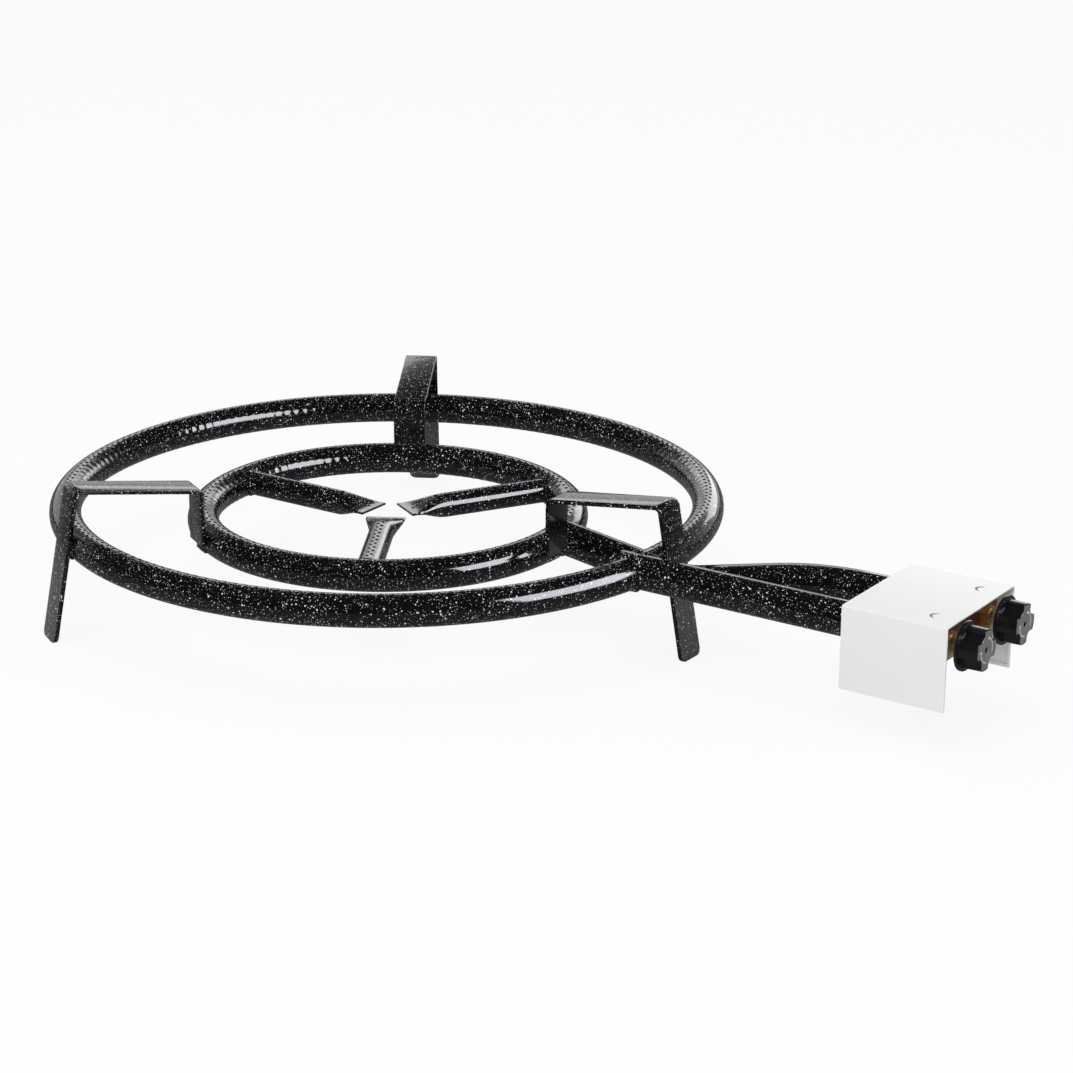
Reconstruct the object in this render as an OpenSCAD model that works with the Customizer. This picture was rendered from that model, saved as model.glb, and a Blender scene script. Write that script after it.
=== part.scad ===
// Two-ring gas burner for paella pans: perforated tube rings on bent flat-bar legs,
// two feed pipes, and a covered pair of push-and-turn taps.
// Modelled in the frame of the outer ring: its axis is Z, its mid plane is z = 0, and the feed
// pipes run along +X. part_frame() then stands the whole burner on the ground.

/* [Rings] */
// Outer diameter of the outer ring
ring_od = 600; // [560:1:640]
// Outer diameter of the inner ring
inner_ring_od = 358; // [340:1:380]
// Diameter of the ring tube
tube_d = 28; // [26:0.5:30]
// Wall of the ring tube
tube_wall = 1.5; // [1.2:0.1:2]
// Height of the outer ring's mid plane above the ground
ring_height = 82; // [76:1:100]
// Depth of the inner ring's mid plane below that of the outer ring
inner_drop = 13.5; // [10:0.5:16]

/* [Gas ports] */
// Diameter of a port
port_d = 2.6; // [2:0.1:3]
// Distance between the ports of one row
port_pitch = 9.4; // [9:0.2:13]
// Distance between the two staggered rows
port_row_gap = 3.5; // [3.3:0.1:5]

/* [Spokes] */
// Diameter of a spoke tube
spoke_d = 22; // [20:0.5:24]
// Distance from the burner axis to the pinched tip of a spoke
spoke_tip = 16; // [15:0.5:22]
// Length over which a spoke is pinched flat
pinch_l = 34; // [28:1:40]
// Width of the pinched tip
pinch_w = 37; // [34:0.5:40]
// Thickness of the pinched tip
pinch_t = 4; // [3:0.5:6]

/* [Feed pipes] */
// Diameter of a feed pipe
feed_d = 30; // [28:0.5:32]
// Wall of a feed pipe
feed_wall = 1.5; // [1.2:0.1:2]
// Distance between the two feed pipes, and between the two taps
feed_spacing = 70; // [68:0.5:74]
// Slope of the inner feed pipe where it rises to its tap
rise_angle = 13; // [11:0.5:16]
// Bend radius of the inner feed pipe where it leaves the level of its tap
feed_crest_r = 400; // [300:10:450]
// Bend radius of the inner feed pipe under the outer ring
feed_bend_r = 100; // [80:5:120]

/* [Legs] */
// Width of the flat bar
bar_w = 30; // [26:0.5:34]
// Thickness of the flat bar
bar_t = 4; // [3:0.5:5]
// Bend radius of the bar at its middle line
bar_bend_r = 5; // [4.5:0.5:8]
// Outward lean of the outer part of a leg
leg_splay = 10.5; // [8:0.5:13]
// Height of the pan rest above the outer ring's mid plane at its inner bend
rest_inner = 36; // [32:0.5:40]
// Height of the pan rest above the outer ring's mid plane at its outer bend
rest_outer = 51; // [46:0.5:58]
// Flat width at the bottom of a foot
foot_flat = 12; // [8:0.5:16]

/* [Control cover] */
// Distance from the outer ring to the rear edge of the cover
cover_gap = 191; // [175:1:210]
// Length of the cover along the feed pipes
cover_l = 93; // [90:1:105]
// Distance from the axis of a tap to the cover's side next to it
cover_side = 25; // [24:0.5:30]
// Height of the cover's sides
cover_h = 71; // [64:1:76]
// Height of the cover's top above the tap axes
cover_top = 21; // [21:0.5:25]
// Sheet thickness of the cover
cover_t = 1; // [0.8:0.1:1.2]

/* [Taps and knobs] */
// Diameter of a knob's grip over its lobes
knob_d = 35; // [33:0.5:38]
// Diameter of a knob's skirt
skirt_d = 41; // [39:0.5:42]
// Length of a knob
knob_l = 19; // [18:0.5:24]
// Number of lobes on a knob's grip
knob_lobes = 4; // [3:1:5]
// Gap between a knob's skirt and the cover's front edge
knob_gap = 3.5; // [3.5:0.5:8]
// Travel of a knob when it is pushed in
push_travel = 3; // [2:0.5:3]
// Diameter of a tap spindle
spindle_d = 8; // [7:0.5:8]

/* [Gas inlet] */
// Diameter of the gas manifold
manifold_d = 18; // [16:0.5:20]
// Diameter of the hose nozzle at its plain land
nozzle_d = 9; // [8:0.5:10]
// Length of the hose nozzle
nozzle_l = 30; // [26:1:40]

/* [Hidden] */
$fn = 96;

// Finishes
enamel = "#17171a";
bar_enamel = "#242426";
paint = "#f2f2f0";
yellow_zinc = "#b98f3c";
brass = "#c2a14e";
zinc = "#b9bcc0";
spring_steel = "#8d9094";
rubber = "#2b2b2b";
plastic = "#131314";

// Rings and spokes
ring_r = ring_od / 2;
tube_r = tube_d / 2;
bore_r = tube_r - tube_wall;
ring_c = ring_r - tube_r;
inner_c = inner_ring_od / 2 - tube_r;
spoke_angles = [60, 180, 300];
spoke_r = spoke_d / 2;
blade_l = 8;
slit_t = pinch_t / 3;

// Feed pipes: bends are a touch fuller than the straights that lap into them
feed_swell = 0.15;
tube_lap = 1;
feed_r = feed_d / 2;
feed_bore_r = feed_r - feed_wall;
outer_y = -feed_spacing / 2;
inner_y = feed_spacing / 2;
crossing_x = sqrt(ring_c * ring_c - outer_y * outer_y);
feed_end_x = crossing_x - tube_r - 1.5;
feed_cap_t = 2;
feed_dip = tube_r + feed_r + feed_swell + 0.05;
rise_bends_r = feed_crest_r + feed_bend_r;
rise_run_l = (feed_dip - rise_bends_r * (1 - cos(rise_angle))) / sin(rise_angle);
rise_run = rise_bends_r * sin(rise_angle) + rise_run_l * cos(rise_angle);
joint_c = inner_c + 6;
joint_x = sqrt(joint_c * joint_c - inner_y * inner_y);
fall_run = crossing_x - joint_x;
fall_rise = feed_dip - inner_drop;
fall_tangent = feed_bend_r * tan(atan(fall_rise / fall_run) / 2);
fall_angle = atan(fall_rise / (fall_run - fall_tangent));
fall_l = (fall_run - fall_tangent) / cos(fall_angle) - feed_bend_r * tan(fall_angle / 2);

// Legs: bends are a touch fuller than the straights that lap into them
bar_swell = 0.02;
bar_lap = 0.3;
weld_seat = 0.4;
drop_s = inner_c + tube_r + bar_t / 2 - weld_seat;
leg_s0 = ring_c + (tube_r + bar_t / 2 - weld_seat) / cos(leg_splay);
rest_s = leg_s0 - rest_outer * tan(leg_splay);
rest_angle = atan2(rest_outer - rest_inner, rest_s - drop_s);
inner_bend = 90 - rest_angle;
outer_bend = 90 - leg_splay + rest_angle;
inner_tangent = bar_bend_r * tan(inner_bend / 2);
outer_tangent = bar_bend_r * tan(outer_bend / 2);
drop_end = -inner_drop - 1;
drop_l = rest_inner - drop_end - inner_tangent;
rest_l = norm([rest_s - drop_s, rest_outer - rest_inner]) - inner_tangent - outer_tangent;
shin_l = (rest_outer + ring_height) / cos(leg_splay) - outer_tangent + bar_t;
foot_round = (bar_w - foot_flat) / 2;

// Cover and chassis
cover_x = ring_r + cover_gap;
front_x = cover_x + cover_l;
cover_w = feed_spacing + 2 * cover_side;
cover_bend_r = 2;
hem_w = 3;
chassis_t = 1.5;
chassis_w = cover_w - 8;
chassis_top = cover_top - cover_t;
chassis_skirt = 18;
rear_wall_x = cover_x + 6;
front_wall_x = front_x - 13;
stud_r = 2;
stud_l = 9;
stud_nut_r = 4;
stud_xs = [rear_wall_x + 14, front_wall_x - 12];

// Taps: x counts from the back of the chassis' front wall, towards the knob
tap_x = front_wall_x - chassis_t;
mouth_x = tap_x - 65;
cap_t = 6;
barrel_r = 11;
barrel_x = -40;
neck_r = 7;
neck_x = -51;
shank_r = 7;
shank_x = 8;
nut_t = 4.5;
nut_r = 11;
cavity_r = 8.3;
plug_x = -36;
plug_l = 17;
plug_front_r = 7.5;
plug_back_r = 6;
plug_taper = (plug_front_r - plug_back_r) / plug_l;
plug_end_gap = 0.3;
plug_port_r = 1.5;
low_port_r = 0.6;
running_fit = 0.05;
spigot_l = 4;
shoulder_r = 6;
shoulder_t = 2;
shoulder_x = -cap_t - spigot_l - shoulder_t - 0.3;
spring_x = plug_x + plug_l;
spring_r = 5.8;
spring_bore_r = 4.4;
tongue_t = 2;
tongue_w = 6;
tongue_x = spring_x - 6;
slot_x = tongue_x - push_travel - 0.5;
slot_t = tongue_t + 0.2;
spindle_r = spindle_d / 2;
spindle_flat = spindle_r * 0.5;
outlet_r = 2.2;
jet_thread_r = 3.5;
jet_thread_l = 8;
jet_hex_r = 5.5;
jet_hex_l = 6;
jet_tip_r = 3;
jet_tip_l = 11;
jet_bore_r = 0.8;

// Manifold, reached from the taps through a flange and a seal
manifold_r = manifold_d / 2;
manifold_wall = 2;
manifold_x = -32;
flange_z = -15;
flange_t = 5;
flange_w = 16;
seal_t = 1;
manifold_z = flange_z - seal_t - manifold_r;
inlet_r = 2.5;
stub_r = 6;
seal_r = 5.5;
saddle_t = 1.5;
saddle_w = 14;
screw_r = 2;
screw_head_r = 3.5;
screw_head_t = 3;
screw_x = manifold_r + saddle_t + screw_head_r + 0.2;
saddle_ear = screw_x + screw_head_r;
flange_l = 2 * saddle_ear;
side_y = cover_w / 2;
manifold_end = 6;
manifold_near_y = outer_y - saddle_w / 2 - manifold_end;
manifold_far_y = side_y + 6;
plug_flange_t = 3;
plug_spigot_l = 6;
inlet_nut_l = 10;
inlet_nut_r = 12.5;
nut_floor = 2;
inlet_seal_t = 1.5;
nozzle_collar_t = 3;
nozzle_bore_r = 2.75;
barb_depth = 0.7;
barb_l = 4;
barb_count = 3;

// Knobs: x counts from the back of the skirt
knob_x = front_x + knob_gap - tap_x;
skirt_t = 2.5;
grip_r = knob_d / 2;
scallop_r = 7;
scallop_depth = 5.2;
scallop_turn = -9;
knob_wall = 3.2;
hub_r = 7.5;
knob_floor = 5;
dimple_r = 2.4;
dimple_l = 2.5;
spindle_x = knob_x + knob_l - knob_floor - 1;
clip_t = 0.4;
clip_l = 8;
clip_w = 4;
axis_shift = -(tap_x + knob_x + knob_l - ring_r) / 2;

// Stands the burner on the ground, centred over its own length
module part_frame() {
  translate([axis_shift, 0, ring_height]) children();
}

// Puts a tap or knob piece on the axis of the outer (-1) or inner (1) tap
module on_tap(side) {
  translate([tap_x, side * feed_spacing / 2, 0]) children();
}

// Round bar along X from x0 to x1
module rod_x(x0, x1, r0, r1 = undef) {
  translate([x0, 0, 0]) rotate([0, 90, 0]) cylinder(h = x1 - x0, r1 = r0, r2 = is_undef(r1) ? r0 : r1);
}

// Round bar along Y from y0 to y1
module rod_y(y0, y1, r) {
  translate([0, y0, 0]) rotate([-90, 0, 0]) cylinder(h = y1 - y0, r = r);
}

// Solid ring of round section
module torus(radius, r) {
  rotate_extrude() translate([radius, 0]) circle(r);
}

// Drills for two staggered rows of ports round a ring, clear of the angles in the gap
module ring_ports(radius, gap_angle, gap_half) {
  count = floor(2 * PI * radius / port_pitch);
  for (side = [-1, 1])
    for (i = [0 : count - 1]) {
      angle = 360 * (i + (side + 1) / 4) / count;
      off = abs((angle - gap_angle + 540) % 360 - 180);
      if (off > gap_half)
        rotate(angle) translate([radius + side * port_row_gap / 2, 0, bore_r / 2])
          rotate(45) cylinder(d = port_d, h = tube_r);
    }
}

module outer_ring() {
  joint_angle = asin(outer_y / ring_c);
  color(enamel) difference() {
    rotate(joint_angle) torus(ring_c, tube_r);
    rotate(joint_angle) torus(ring_c, bore_r);
    ring_ports(ring_c, joint_angle, 5);
    translate([0, outer_y, 0]) rod_x(feed_end_x - tube_d, ring_r + tube_d, feed_r);
  }
}

module inner_ring() {
  color(enamel) translate([0, 0, -inner_drop]) difference() {
    torus(inner_c, tube_r);
    torus(inner_c, bore_r);
    ring_ports(inner_c, 180, -1);
    for (angle = spoke_angles)
      rotate(angle) rod_x(inner_c - tube_d, inner_c, spoke_r - tube_wall - 1);
    translate([0, inner_y, 0]) rod_x(inner_c - tube_wall, inner_c + tube_d, feed_bore_r - 3);
  }
}

// Half-length solid of a spoke: round tube that is pinched to a flat blade at its tip
module spoke_form(r, w, t, tip) {
  pinch_end = spoke_tip + pinch_l;
  rod_x(pinch_end, inner_c, r);
  hull() {
    rod_x(pinch_end, pinch_end + 0.5, r, $fn = 40);
    translate([tip, -w / 2, -t / 2]) cube([blade_l, w, t]);
  }
}

module spoke() {
  port_count = floor((inner_c - tube_r - spoke_tip - pinch_l) / port_pitch);
  color(enamel) translate([0, 0, -inner_drop]) difference() {
    spoke_form(spoke_r, pinch_w, pinch_t, spoke_tip);
    spoke_form(spoke_r - tube_wall, pinch_w - 4, slit_t, spoke_tip + blade_l);
    torus(inner_c, tube_r);
    for (side = [-1, 1])
      for (i = [0 : port_count - 1])
        translate([spoke_tip + pinch_l + port_pitch * (i + 0.35 + side / 4), side * port_row_gap / 2, 3])
          cylinder(d = port_d, h = spoke_r);
  }
}

module outer_feed_pipe() {
  color(enamel) difference() {
    translate([0, outer_y, 0]) rod_x(feed_end_x, mouth_x, feed_r);
    translate([0, outer_y, 0]) rod_x(feed_end_x - 1, mouth_x + 1, feed_bore_r);
    torus(ring_c, bore_r);
  }
}

module outer_feed_cap() {
  color(enamel) translate([0, outer_y, 0]) rod_x(feed_end_x, feed_end_x + feed_cap_t, feed_bore_r);
}

// Straight length of a bent tube, lapped into the bends; what follows it starts at its end
module tube_run(l, r) {
  rod_x(-tube_lap, l + tube_lap, r);
  translate([l, 0, 0]) children();
}

// Bend of a tube in its own XZ plane, upward for a positive angle; what follows starts at its end
module tube_turn(angle, bend_r, r) {
  side = angle > 0 ? 1 : -1;
  translate([0, 0, side * bend_r]) {
    rotate([90, 0, 0]) rotate(side > 0 ? -90 : 90 + angle)
      rotate_extrude(angle = abs(angle)) translate([bend_r, 0]) circle(r + feed_swell);
    rotate([0, -angle, 0]) translate([0, 0, -side * bend_r]) children();
  }
}

// Path of the inner feed pipe from its mouth, down under the outer ring and up to the inner ring
module inner_feed_path(r, extra) {
  start_x = mouth_x - tube_lap + extra;
  translate([start_x, inner_y, 0]) rotate(180)
    tube_run(start_x - crossing_x - rise_run, r)
    tube_turn(-rise_angle, feed_crest_r, r)
    tube_run(rise_run_l, r)
    tube_turn(rise_angle + fall_angle, feed_bend_r, r)
    tube_run(fall_l + extra, r);
}

module inner_feed_pipe() {
  color(enamel) difference() {
    inner_feed_path(feed_r, 0);
    inner_feed_path(feed_bore_r, 1);
    translate([0, 0, -inner_drop]) torus(inner_c, tube_r);
  }
}

// Straight length of flat bar, lapped into the bends; what follows it starts at its end
module bar_run(l) {
  translate([-bar_lap, -bar_t / 2, -bar_w / 2]) cube([l + 2 * bar_lap, bar_t, bar_w]);
  translate([l, 0, 0]) children();
}

// Bend of flat bar to the right; what follows it starts at its end
module bar_turn(angle) {
  translate([0, -bar_bend_r, 0]) {
    rotate(90 - angle) rotate_extrude(angle = angle)
      translate([bar_bend_r, 0]) square([bar_t + 2 * bar_swell, bar_w + 2 * bar_swell], center = true);
    rotate(-angle) translate([0, bar_bend_r, 0]) children();
  }
}

// What is cut away at the ground: everything below it, and the corners of the foot
module foot_trim() {
  reach = ring_r + bar_w;
  translate([ring_c, -bar_w, -2 * ring_height]) cube([bar_w + reach, 2 * bar_w, ring_height]);
  for (side = [-1, 1])
    translate([ring_c, side * (foot_flat / 2), -ring_height]) rotate([90, 0, 90])
      linear_extrude(bar_w + tube_d) difference() {
        translate([side > 0 ? 0 : -foot_round - 1, -1]) square([foot_round + 1, foot_round + 1]);
        translate([0, foot_round]) circle(foot_round);
      }
}

// Flat bar bent to an inner drop, a rising pan rest and an outer foot, seated on both rings
module leg() {
  color(bar_enamel) difference() {
    translate([drop_s, 0, drop_end]) rotate([90, 0, 0]) rotate(90)
      bar_run(drop_l) bar_turn(inner_bend) bar_run(rest_l) bar_turn(outer_bend) bar_run(shin_l);
    foot_trim();
    torus(ring_c, tube_r);
    translate([0, 0, -inner_drop]) torus(inner_c, tube_r);
  }
}

// Cross section of an upside-down U with rounded upper corners, drawn across the cover
module cover_section(w, top, r) {
  translate([-w / 2, cover_top - cover_h - 1]) square([w, cover_h + 1 + top - cover_top - r]);
  translate([-w / 2 + r, top - 2 * r]) square([w - 2 * r, 2 * r]);
  for (side = [-1, 1])
    translate([side * (w / 2 - r), top - r]) circle(r);
}

module control_cover() {
  inside_r = cover_bend_r - cover_t;
  color(paint) difference() {
    union() {
      translate([cover_x, 0, 0]) rotate([90, 0, 90]) linear_extrude(cover_l) difference() {
        cover_section(cover_w, cover_top, cover_bend_r);
        cover_section(cover_w - 2 * cover_t, cover_top - cover_t, inside_r);
      }
      // folded hems inside the lower and front edges of the sides
      for (side = [-1, 1])
        translate([cover_x, side > 0 ? side_y - 2 * cover_t : -side_y, cover_top - cover_h]) {
          cube([cover_l, 2 * cover_t, hem_w]);
          translate([cover_l - hem_w, 0, 0]) cube([hem_w, 2 * cover_t, cover_h - 2 * hem_w]);
        }
    }
    translate([cover_x - 1, -side_y - 1, cover_top - cover_h - 2]) cube([cover_l + 2, cover_w + 2, 2]);
    translate([tap_x + manifold_x, 0, manifold_z]) rod_y(0, cover_w, manifold_r + 1);
  }
}

module cover_studs() {
  color(zinc) for (x = stud_xs)
    translate([x, 0, chassis_top - stud_l]) cylinder(r = stud_r, h = stud_l);
}

module cover_nuts() {
  color(zinc) for (x = stud_xs)
    translate([x, 0, chassis_top - chassis_t - 3.2]) difference() {
      cylinder(r = stud_nut_r, h = 3.2, $fn = 6);
      translate([0, 0, -1]) cylinder(r = stud_r, h = 6);
    }
}

module valve_chassis() {
  half_w = chassis_w / 2;
  color(yellow_zinc) difference() {
    union() {
      translate([rear_wall_x, -half_w, chassis_top - chassis_t])
        cube([front_wall_x - rear_wall_x, chassis_w, chassis_t]);
      for (x = [rear_wall_x, front_wall_x - chassis_t])
        translate([x, -half_w, -chassis_skirt]) cube([chassis_t, chassis_w, chassis_skirt + chassis_top]);
    }
    for (y = [outer_y, inner_y])
      translate([0, y, 0]) {
        rod_x(rear_wall_x - 1, rear_wall_x + 5, feed_r + running_fit);
        rod_x(front_wall_x - 5, front_wall_x + 1, shank_r + running_fit);
      }
    for (x = stud_xs)
      translate([x, 0, 0]) cylinder(r = stud_r + 0.2, h = cover_top);
  }
}

module gas_manifold() {
  color(zinc) difference() {
    translate([tap_x + manifold_x, 0, manifold_z]) difference() {
      rod_y(manifold_near_y, manifold_far_y, manifold_r);
      rod_y(manifold_near_y - 1, manifold_far_y + 1, manifold_r - manifold_wall);
    }
    for (y = [outer_y, inner_y])
      translate([tap_x + manifold_x, y, manifold_z]) cylinder(r = inlet_r, h = manifold_r + 1);
  }
}

module manifold_plug() {
  color(zinc) translate([tap_x + manifold_x, manifold_near_y, manifold_z]) {
    rod_y(0, plug_spigot_l, manifold_r - manifold_wall);
    rotate([90, 0, 0]) cylinder(r = manifold_r + 1.5, h = plug_flange_t, $fn = 6);
  }
}

module inlet_seal() {
  color(rubber) translate([tap_x + manifold_x, manifold_far_y, manifold_z]) difference() {
    rod_y(0, inlet_seal_t, manifold_r - 0.5);
    rod_y(-1, inlet_seal_t + 1, nozzle_bore_r + 1);
  }
}

module inlet_nut() {
  thread_l = inlet_nut_l - inlet_seal_t - nozzle_collar_t - nut_floor;
  color(brass) translate([tap_x + manifold_x, manifold_far_y - thread_l, manifold_z]) difference() {
    rotate([-90, 0, 0]) cylinder(r = inlet_nut_r, h = inlet_nut_l, $fn = 6);
    rod_y(-1, inlet_nut_l - nut_floor, manifold_r);
    rod_y(0, inlet_nut_l + 1, nozzle_d / 2 + 0.5);
  }
}

module hose_nozzle() {
  collar_y = manifold_far_y + inlet_seal_t;
  color(brass) translate([tap_x + manifold_x, collar_y, manifold_z]) difference() {
    union() {
      rod_y(0, nozzle_collar_t, manifold_r - 0.2);
      rod_y(0, nozzle_collar_t + nut_floor, nozzle_d / 2 + 0.4);
      rod_y(0, nozzle_l - barb_count * barb_l, nozzle_d / 2);
      for (i = [0 : barb_count - 1])
        translate([0, nozzle_l - (i + 1) * barb_l, 0]) rotate([-90, 0, 0])
          cylinder(h = barb_l, r1 = nozzle_d / 2, r2 = nozzle_d / 2 - barb_depth);
    }
    rod_y(-1, nozzle_l + 1, nozzle_bore_r);
  }
}

module tap_body() {
  color(brass) difference() {
    union() {
      rod_x(barrel_x, -cap_t, barrel_r);
      rod_x(neck_x, barrel_x, neck_r);
      translate([manifold_x, 0, flange_z]) cylinder(r = stub_r, h = -flange_z - barrel_r / 2);
      translate([manifold_x - flange_l / 2, -flange_w / 2, flange_z]) cube([flange_l, flange_w, flange_t]);
    }
    rod_x(plug_x - plug_end_gap, spring_x, plug_back_r - plug_end_gap * plug_taper + running_fit,
      plug_front_r + running_fit);
    rod_x(spring_x - 0.5, 0, cavity_r);
    rod_x(neck_x - 1, plug_x, outlet_r);
    rod_x(neck_x - 1, neck_x + jet_thread_l, jet_thread_r);
    translate([manifold_x, 0, flange_z - 1]) cylinder(r = inlet_r, h = -flange_z - plug_back_r + 2);
    for (dx = [-screw_x, screw_x])
      translate([manifold_x + dx, 0, flange_z - 1]) cylinder(r = screw_r, h = flange_t + 2);
  }
}

module tap_plug() {
  color(brass) difference() {
    rod_x(plug_x, spring_x, plug_back_r, plug_front_r);
    rod_x(plug_x - 1, manifold_x + outlet_r, outlet_r);
    // full-flame port, shut at rest a quarter turn from the inlet, and a finer low-flame port after it
    translate([manifold_x, 0, 0]) {
      rod_y(-plug_front_r - 1, 0, plug_port_r);
      cylinder(r = low_port_r, h = plug_front_r + 1);
    }
    translate([slot_x, -tongue_w / 2 - 0.2, -slot_t / 2]) cube([plug_l, tongue_w + 0.4, slot_t]);
  }
}

module tap_spring() {
  color(spring_steel) difference() {
    rod_x(spring_x, shoulder_x, spring_r);
    rod_x(spring_x - 1, shoulder_x + 1, spring_bore_r);
  }
}

// Round spindle end with a flat, as the knob's bore has it
module spindle_end(x0, x1) {
  difference() {
    rod_x(x0, x1, spindle_r);
    translate([x0 - 1, -spindle_r, spindle_flat]) cube([x1 - x0 + 2, spindle_d, spindle_r]);
  }
}

module tap_spindle() {
  color(zinc) {
    rod_x(shoulder_x + shoulder_t, knob_x - 1, spindle_r);
    spindle_end(knob_x - 1, spindle_x);
    rod_x(shoulder_x, shoulder_x + shoulder_t, shoulder_r);
    translate([tongue_x, -tongue_w / 2, -tongue_t / 2]) cube([shoulder_x - tongue_x, tongue_w, tongue_t]);
  }
}

module tap_cap() {
  color(brass) difference() {
    union() {
      rod_x(-cap_t, 0, barrel_r);
      rod_x(-cap_t - spigot_l, -cap_t, cavity_r);
      rod_x(0, shank_x, shank_r);
    }
    rod_x(-cap_t - spigot_l - 1, shank_x + 1, spindle_r + running_fit);
  }
}

module tap_nut() {
  color(brass) difference() {
    translate([chassis_t, 0, 0]) rotate([0, 90, 0]) cylinder(r = nut_r, h = nut_t, $fn = 6);
    rod_x(0, shank_x, shank_r);
  }
}

module injector() {
  color(brass) difference() {
    union() {
      rod_x(neck_x, neck_x + jet_thread_l, jet_thread_r);
      translate([neck_x - jet_hex_l, 0, 0]) rotate([0, 90, 0])
        cylinder(r = jet_hex_r, h = jet_hex_l, $fn = 6);
      rod_x(neck_x - jet_hex_l - jet_tip_l, neck_x - jet_hex_l, jet_tip_r * 0.7, jet_tip_r);
    }
    rod_x(neck_x - jet_hex_l - jet_tip_l - 1, neck_x, jet_bore_r);
    rod_x(neck_x - jet_hex_l, neck_x + jet_thread_l + 1, outlet_r);
  }
}

module tap_seal() {
  color(rubber) difference() {
    translate([manifold_x, 0, flange_z - seal_t - 2]) cylinder(r = seal_r, h = seal_t + 2);
    translate([manifold_x, 0, manifold_z]) cylinder(r = inlet_r, h = manifold_d);
    translate([manifold_x, 0, manifold_z]) rod_y(-manifold_d, manifold_d, manifold_r);
  }
}

// Strap under the manifold, with an ear on each side for a screw
module tap_saddle() {
  color(zinc) translate([manifold_x, 0, manifold_z]) difference() {
    union() {
      rod_y(-saddle_w / 2, saddle_w / 2, manifold_r + saddle_t);
      translate([-saddle_ear, -saddle_w / 2, -saddle_t]) cube([2 * saddle_ear, saddle_w, saddle_t]);
    }
    rod_y(-saddle_w, saddle_w, manifold_r);
    translate([-saddle_ear, -saddle_w, 0]) cube([2 * saddle_ear, 2 * saddle_w, manifold_d]);
    for (dx = [-screw_x, screw_x])
      translate([dx, 0, -manifold_r]) cylinder(r = screw_r + 0.2, h = manifold_d);
  }
}

module saddle_screws() {
  head_z = manifold_z - saddle_t - screw_head_t;
  color(zinc) for (side = [-1, 1])
    on_tap(side)
      for (dx = [-screw_x, screw_x])
        translate([manifold_x + dx, 0, head_z]) {
          cylinder(r = screw_head_r, h = screw_head_t);
          cylinder(r = screw_r, h = flange_z + flange_t - head_z);
        }
}

// Knob with a round skirt, a scalloped grip, a hollow back and a hub with a flatted bore
module knob() {
  color(plastic) translate([knob_x, 0, 0]) difference() {
    union() {
      rod_x(0, skirt_t, skirt_d / 2);
      difference() {
        rod_x(skirt_t, knob_l, grip_r);
        for (i = [0 : knob_lobes - 1])
          rotate([360 * (i + 0.5) / knob_lobes + scallop_turn, 0, 0])
            translate([0, grip_r + scallop_r - scallop_depth, 0]) rod_x(skirt_t, knob_l + 1, scallop_r);
      }
    }
    difference() {
      rod_x(-1, knob_l - knob_floor, grip_r - scallop_depth - knob_wall + 1);
      rod_x(-2, knob_l, hub_r);
    }
    translate([-knob_x, 0, 0]) spindle_end(knob_x - 1, spindle_x);
    translate([-1, -clip_w / 2, spindle_flat]) cube([clip_l + 1, clip_w, clip_t]);
    rod_x(knob_l - dimple_l, knob_l + 1, dimple_r);
  }
}

// Leaf between the spindle's flat and the knob's bore
module knob_clip() {
  color(spring_steel) translate([knob_x, -clip_w / 2, spindle_flat]) cube([clip_l, clip_w, clip_t]);
}

part_frame() outer_ring();
part_frame() inner_ring();
part_frame() rotate(spoke_angles[0]) spoke();  // left_spoke
part_frame() rotate(spoke_angles[1]) spoke();  // rear_spoke
part_frame() rotate(spoke_angles[2]) spoke();  // right_spoke
part_frame() outer_feed_pipe();
part_frame() outer_feed_cap();
part_frame() inner_feed_pipe();
part_frame() leg();  // front_leg
part_frame() rotate(120) leg();  // left_leg
part_frame() rotate(240) leg();  // right_leg
part_frame() control_cover();
part_frame() cover_studs();
part_frame() cover_nuts();
part_frame() valve_chassis();
part_frame() gas_manifold();
part_frame() manifold_plug();
part_frame() inlet_seal();
part_frame() inlet_nut();
part_frame() hose_nozzle();
part_frame() on_tap(-1) tap_body();  // outer_tap_body
part_frame() on_tap(-1) tap_plug();  // outer_tap_plug
part_frame() on_tap(-1) tap_spring();  // outer_tap_spring
part_frame() on_tap(-1) tap_spindle();  // outer_tap_spindle
part_frame() on_tap(-1) tap_cap();  // outer_tap_cap
part_frame() on_tap(-1) tap_nut();  // outer_tap_nut
part_frame() on_tap(-1) injector();  // outer_injector
part_frame() on_tap(-1) tap_seal();  // outer_tap_seal
part_frame() on_tap(-1) tap_saddle();  // outer_tap_saddle
part_frame() on_tap(1) tap_body();  // inner_tap_body
part_frame() on_tap(1) tap_plug();  // inner_tap_plug
part_frame() on_tap(1) tap_spring();  // inner_tap_spring
part_frame() on_tap(1) tap_spindle();  // inner_tap_spindle
part_frame() on_tap(1) tap_cap();  // inner_tap_cap
part_frame() on_tap(1) tap_nut();  // inner_tap_nut
part_frame() on_tap(1) injector();  // inner_injector
part_frame() on_tap(1) tap_seal();  // inner_tap_seal
part_frame() on_tap(1) tap_saddle();  // inner_tap_saddle
part_frame() saddle_screws();
part_frame() on_tap(-1) knob();  // outer_knob
part_frame() on_tap(-1) knob_clip();  // outer_knob_clip
part_frame() on_tap(1) knob();  // inner_knob
part_frame() on_tap(1) knob_clip();  // inner_knob_clip
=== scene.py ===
"""Looks of a two-ring paella burner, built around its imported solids."""

import logging
import math
from dataclasses import dataclass
from enum import Enum
from functools import cache
from typing import Any, Callable, Iterable, Optional, Sequence, Union

import bmesh
import bpy
from mathutils import Matrix, Vector


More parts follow.
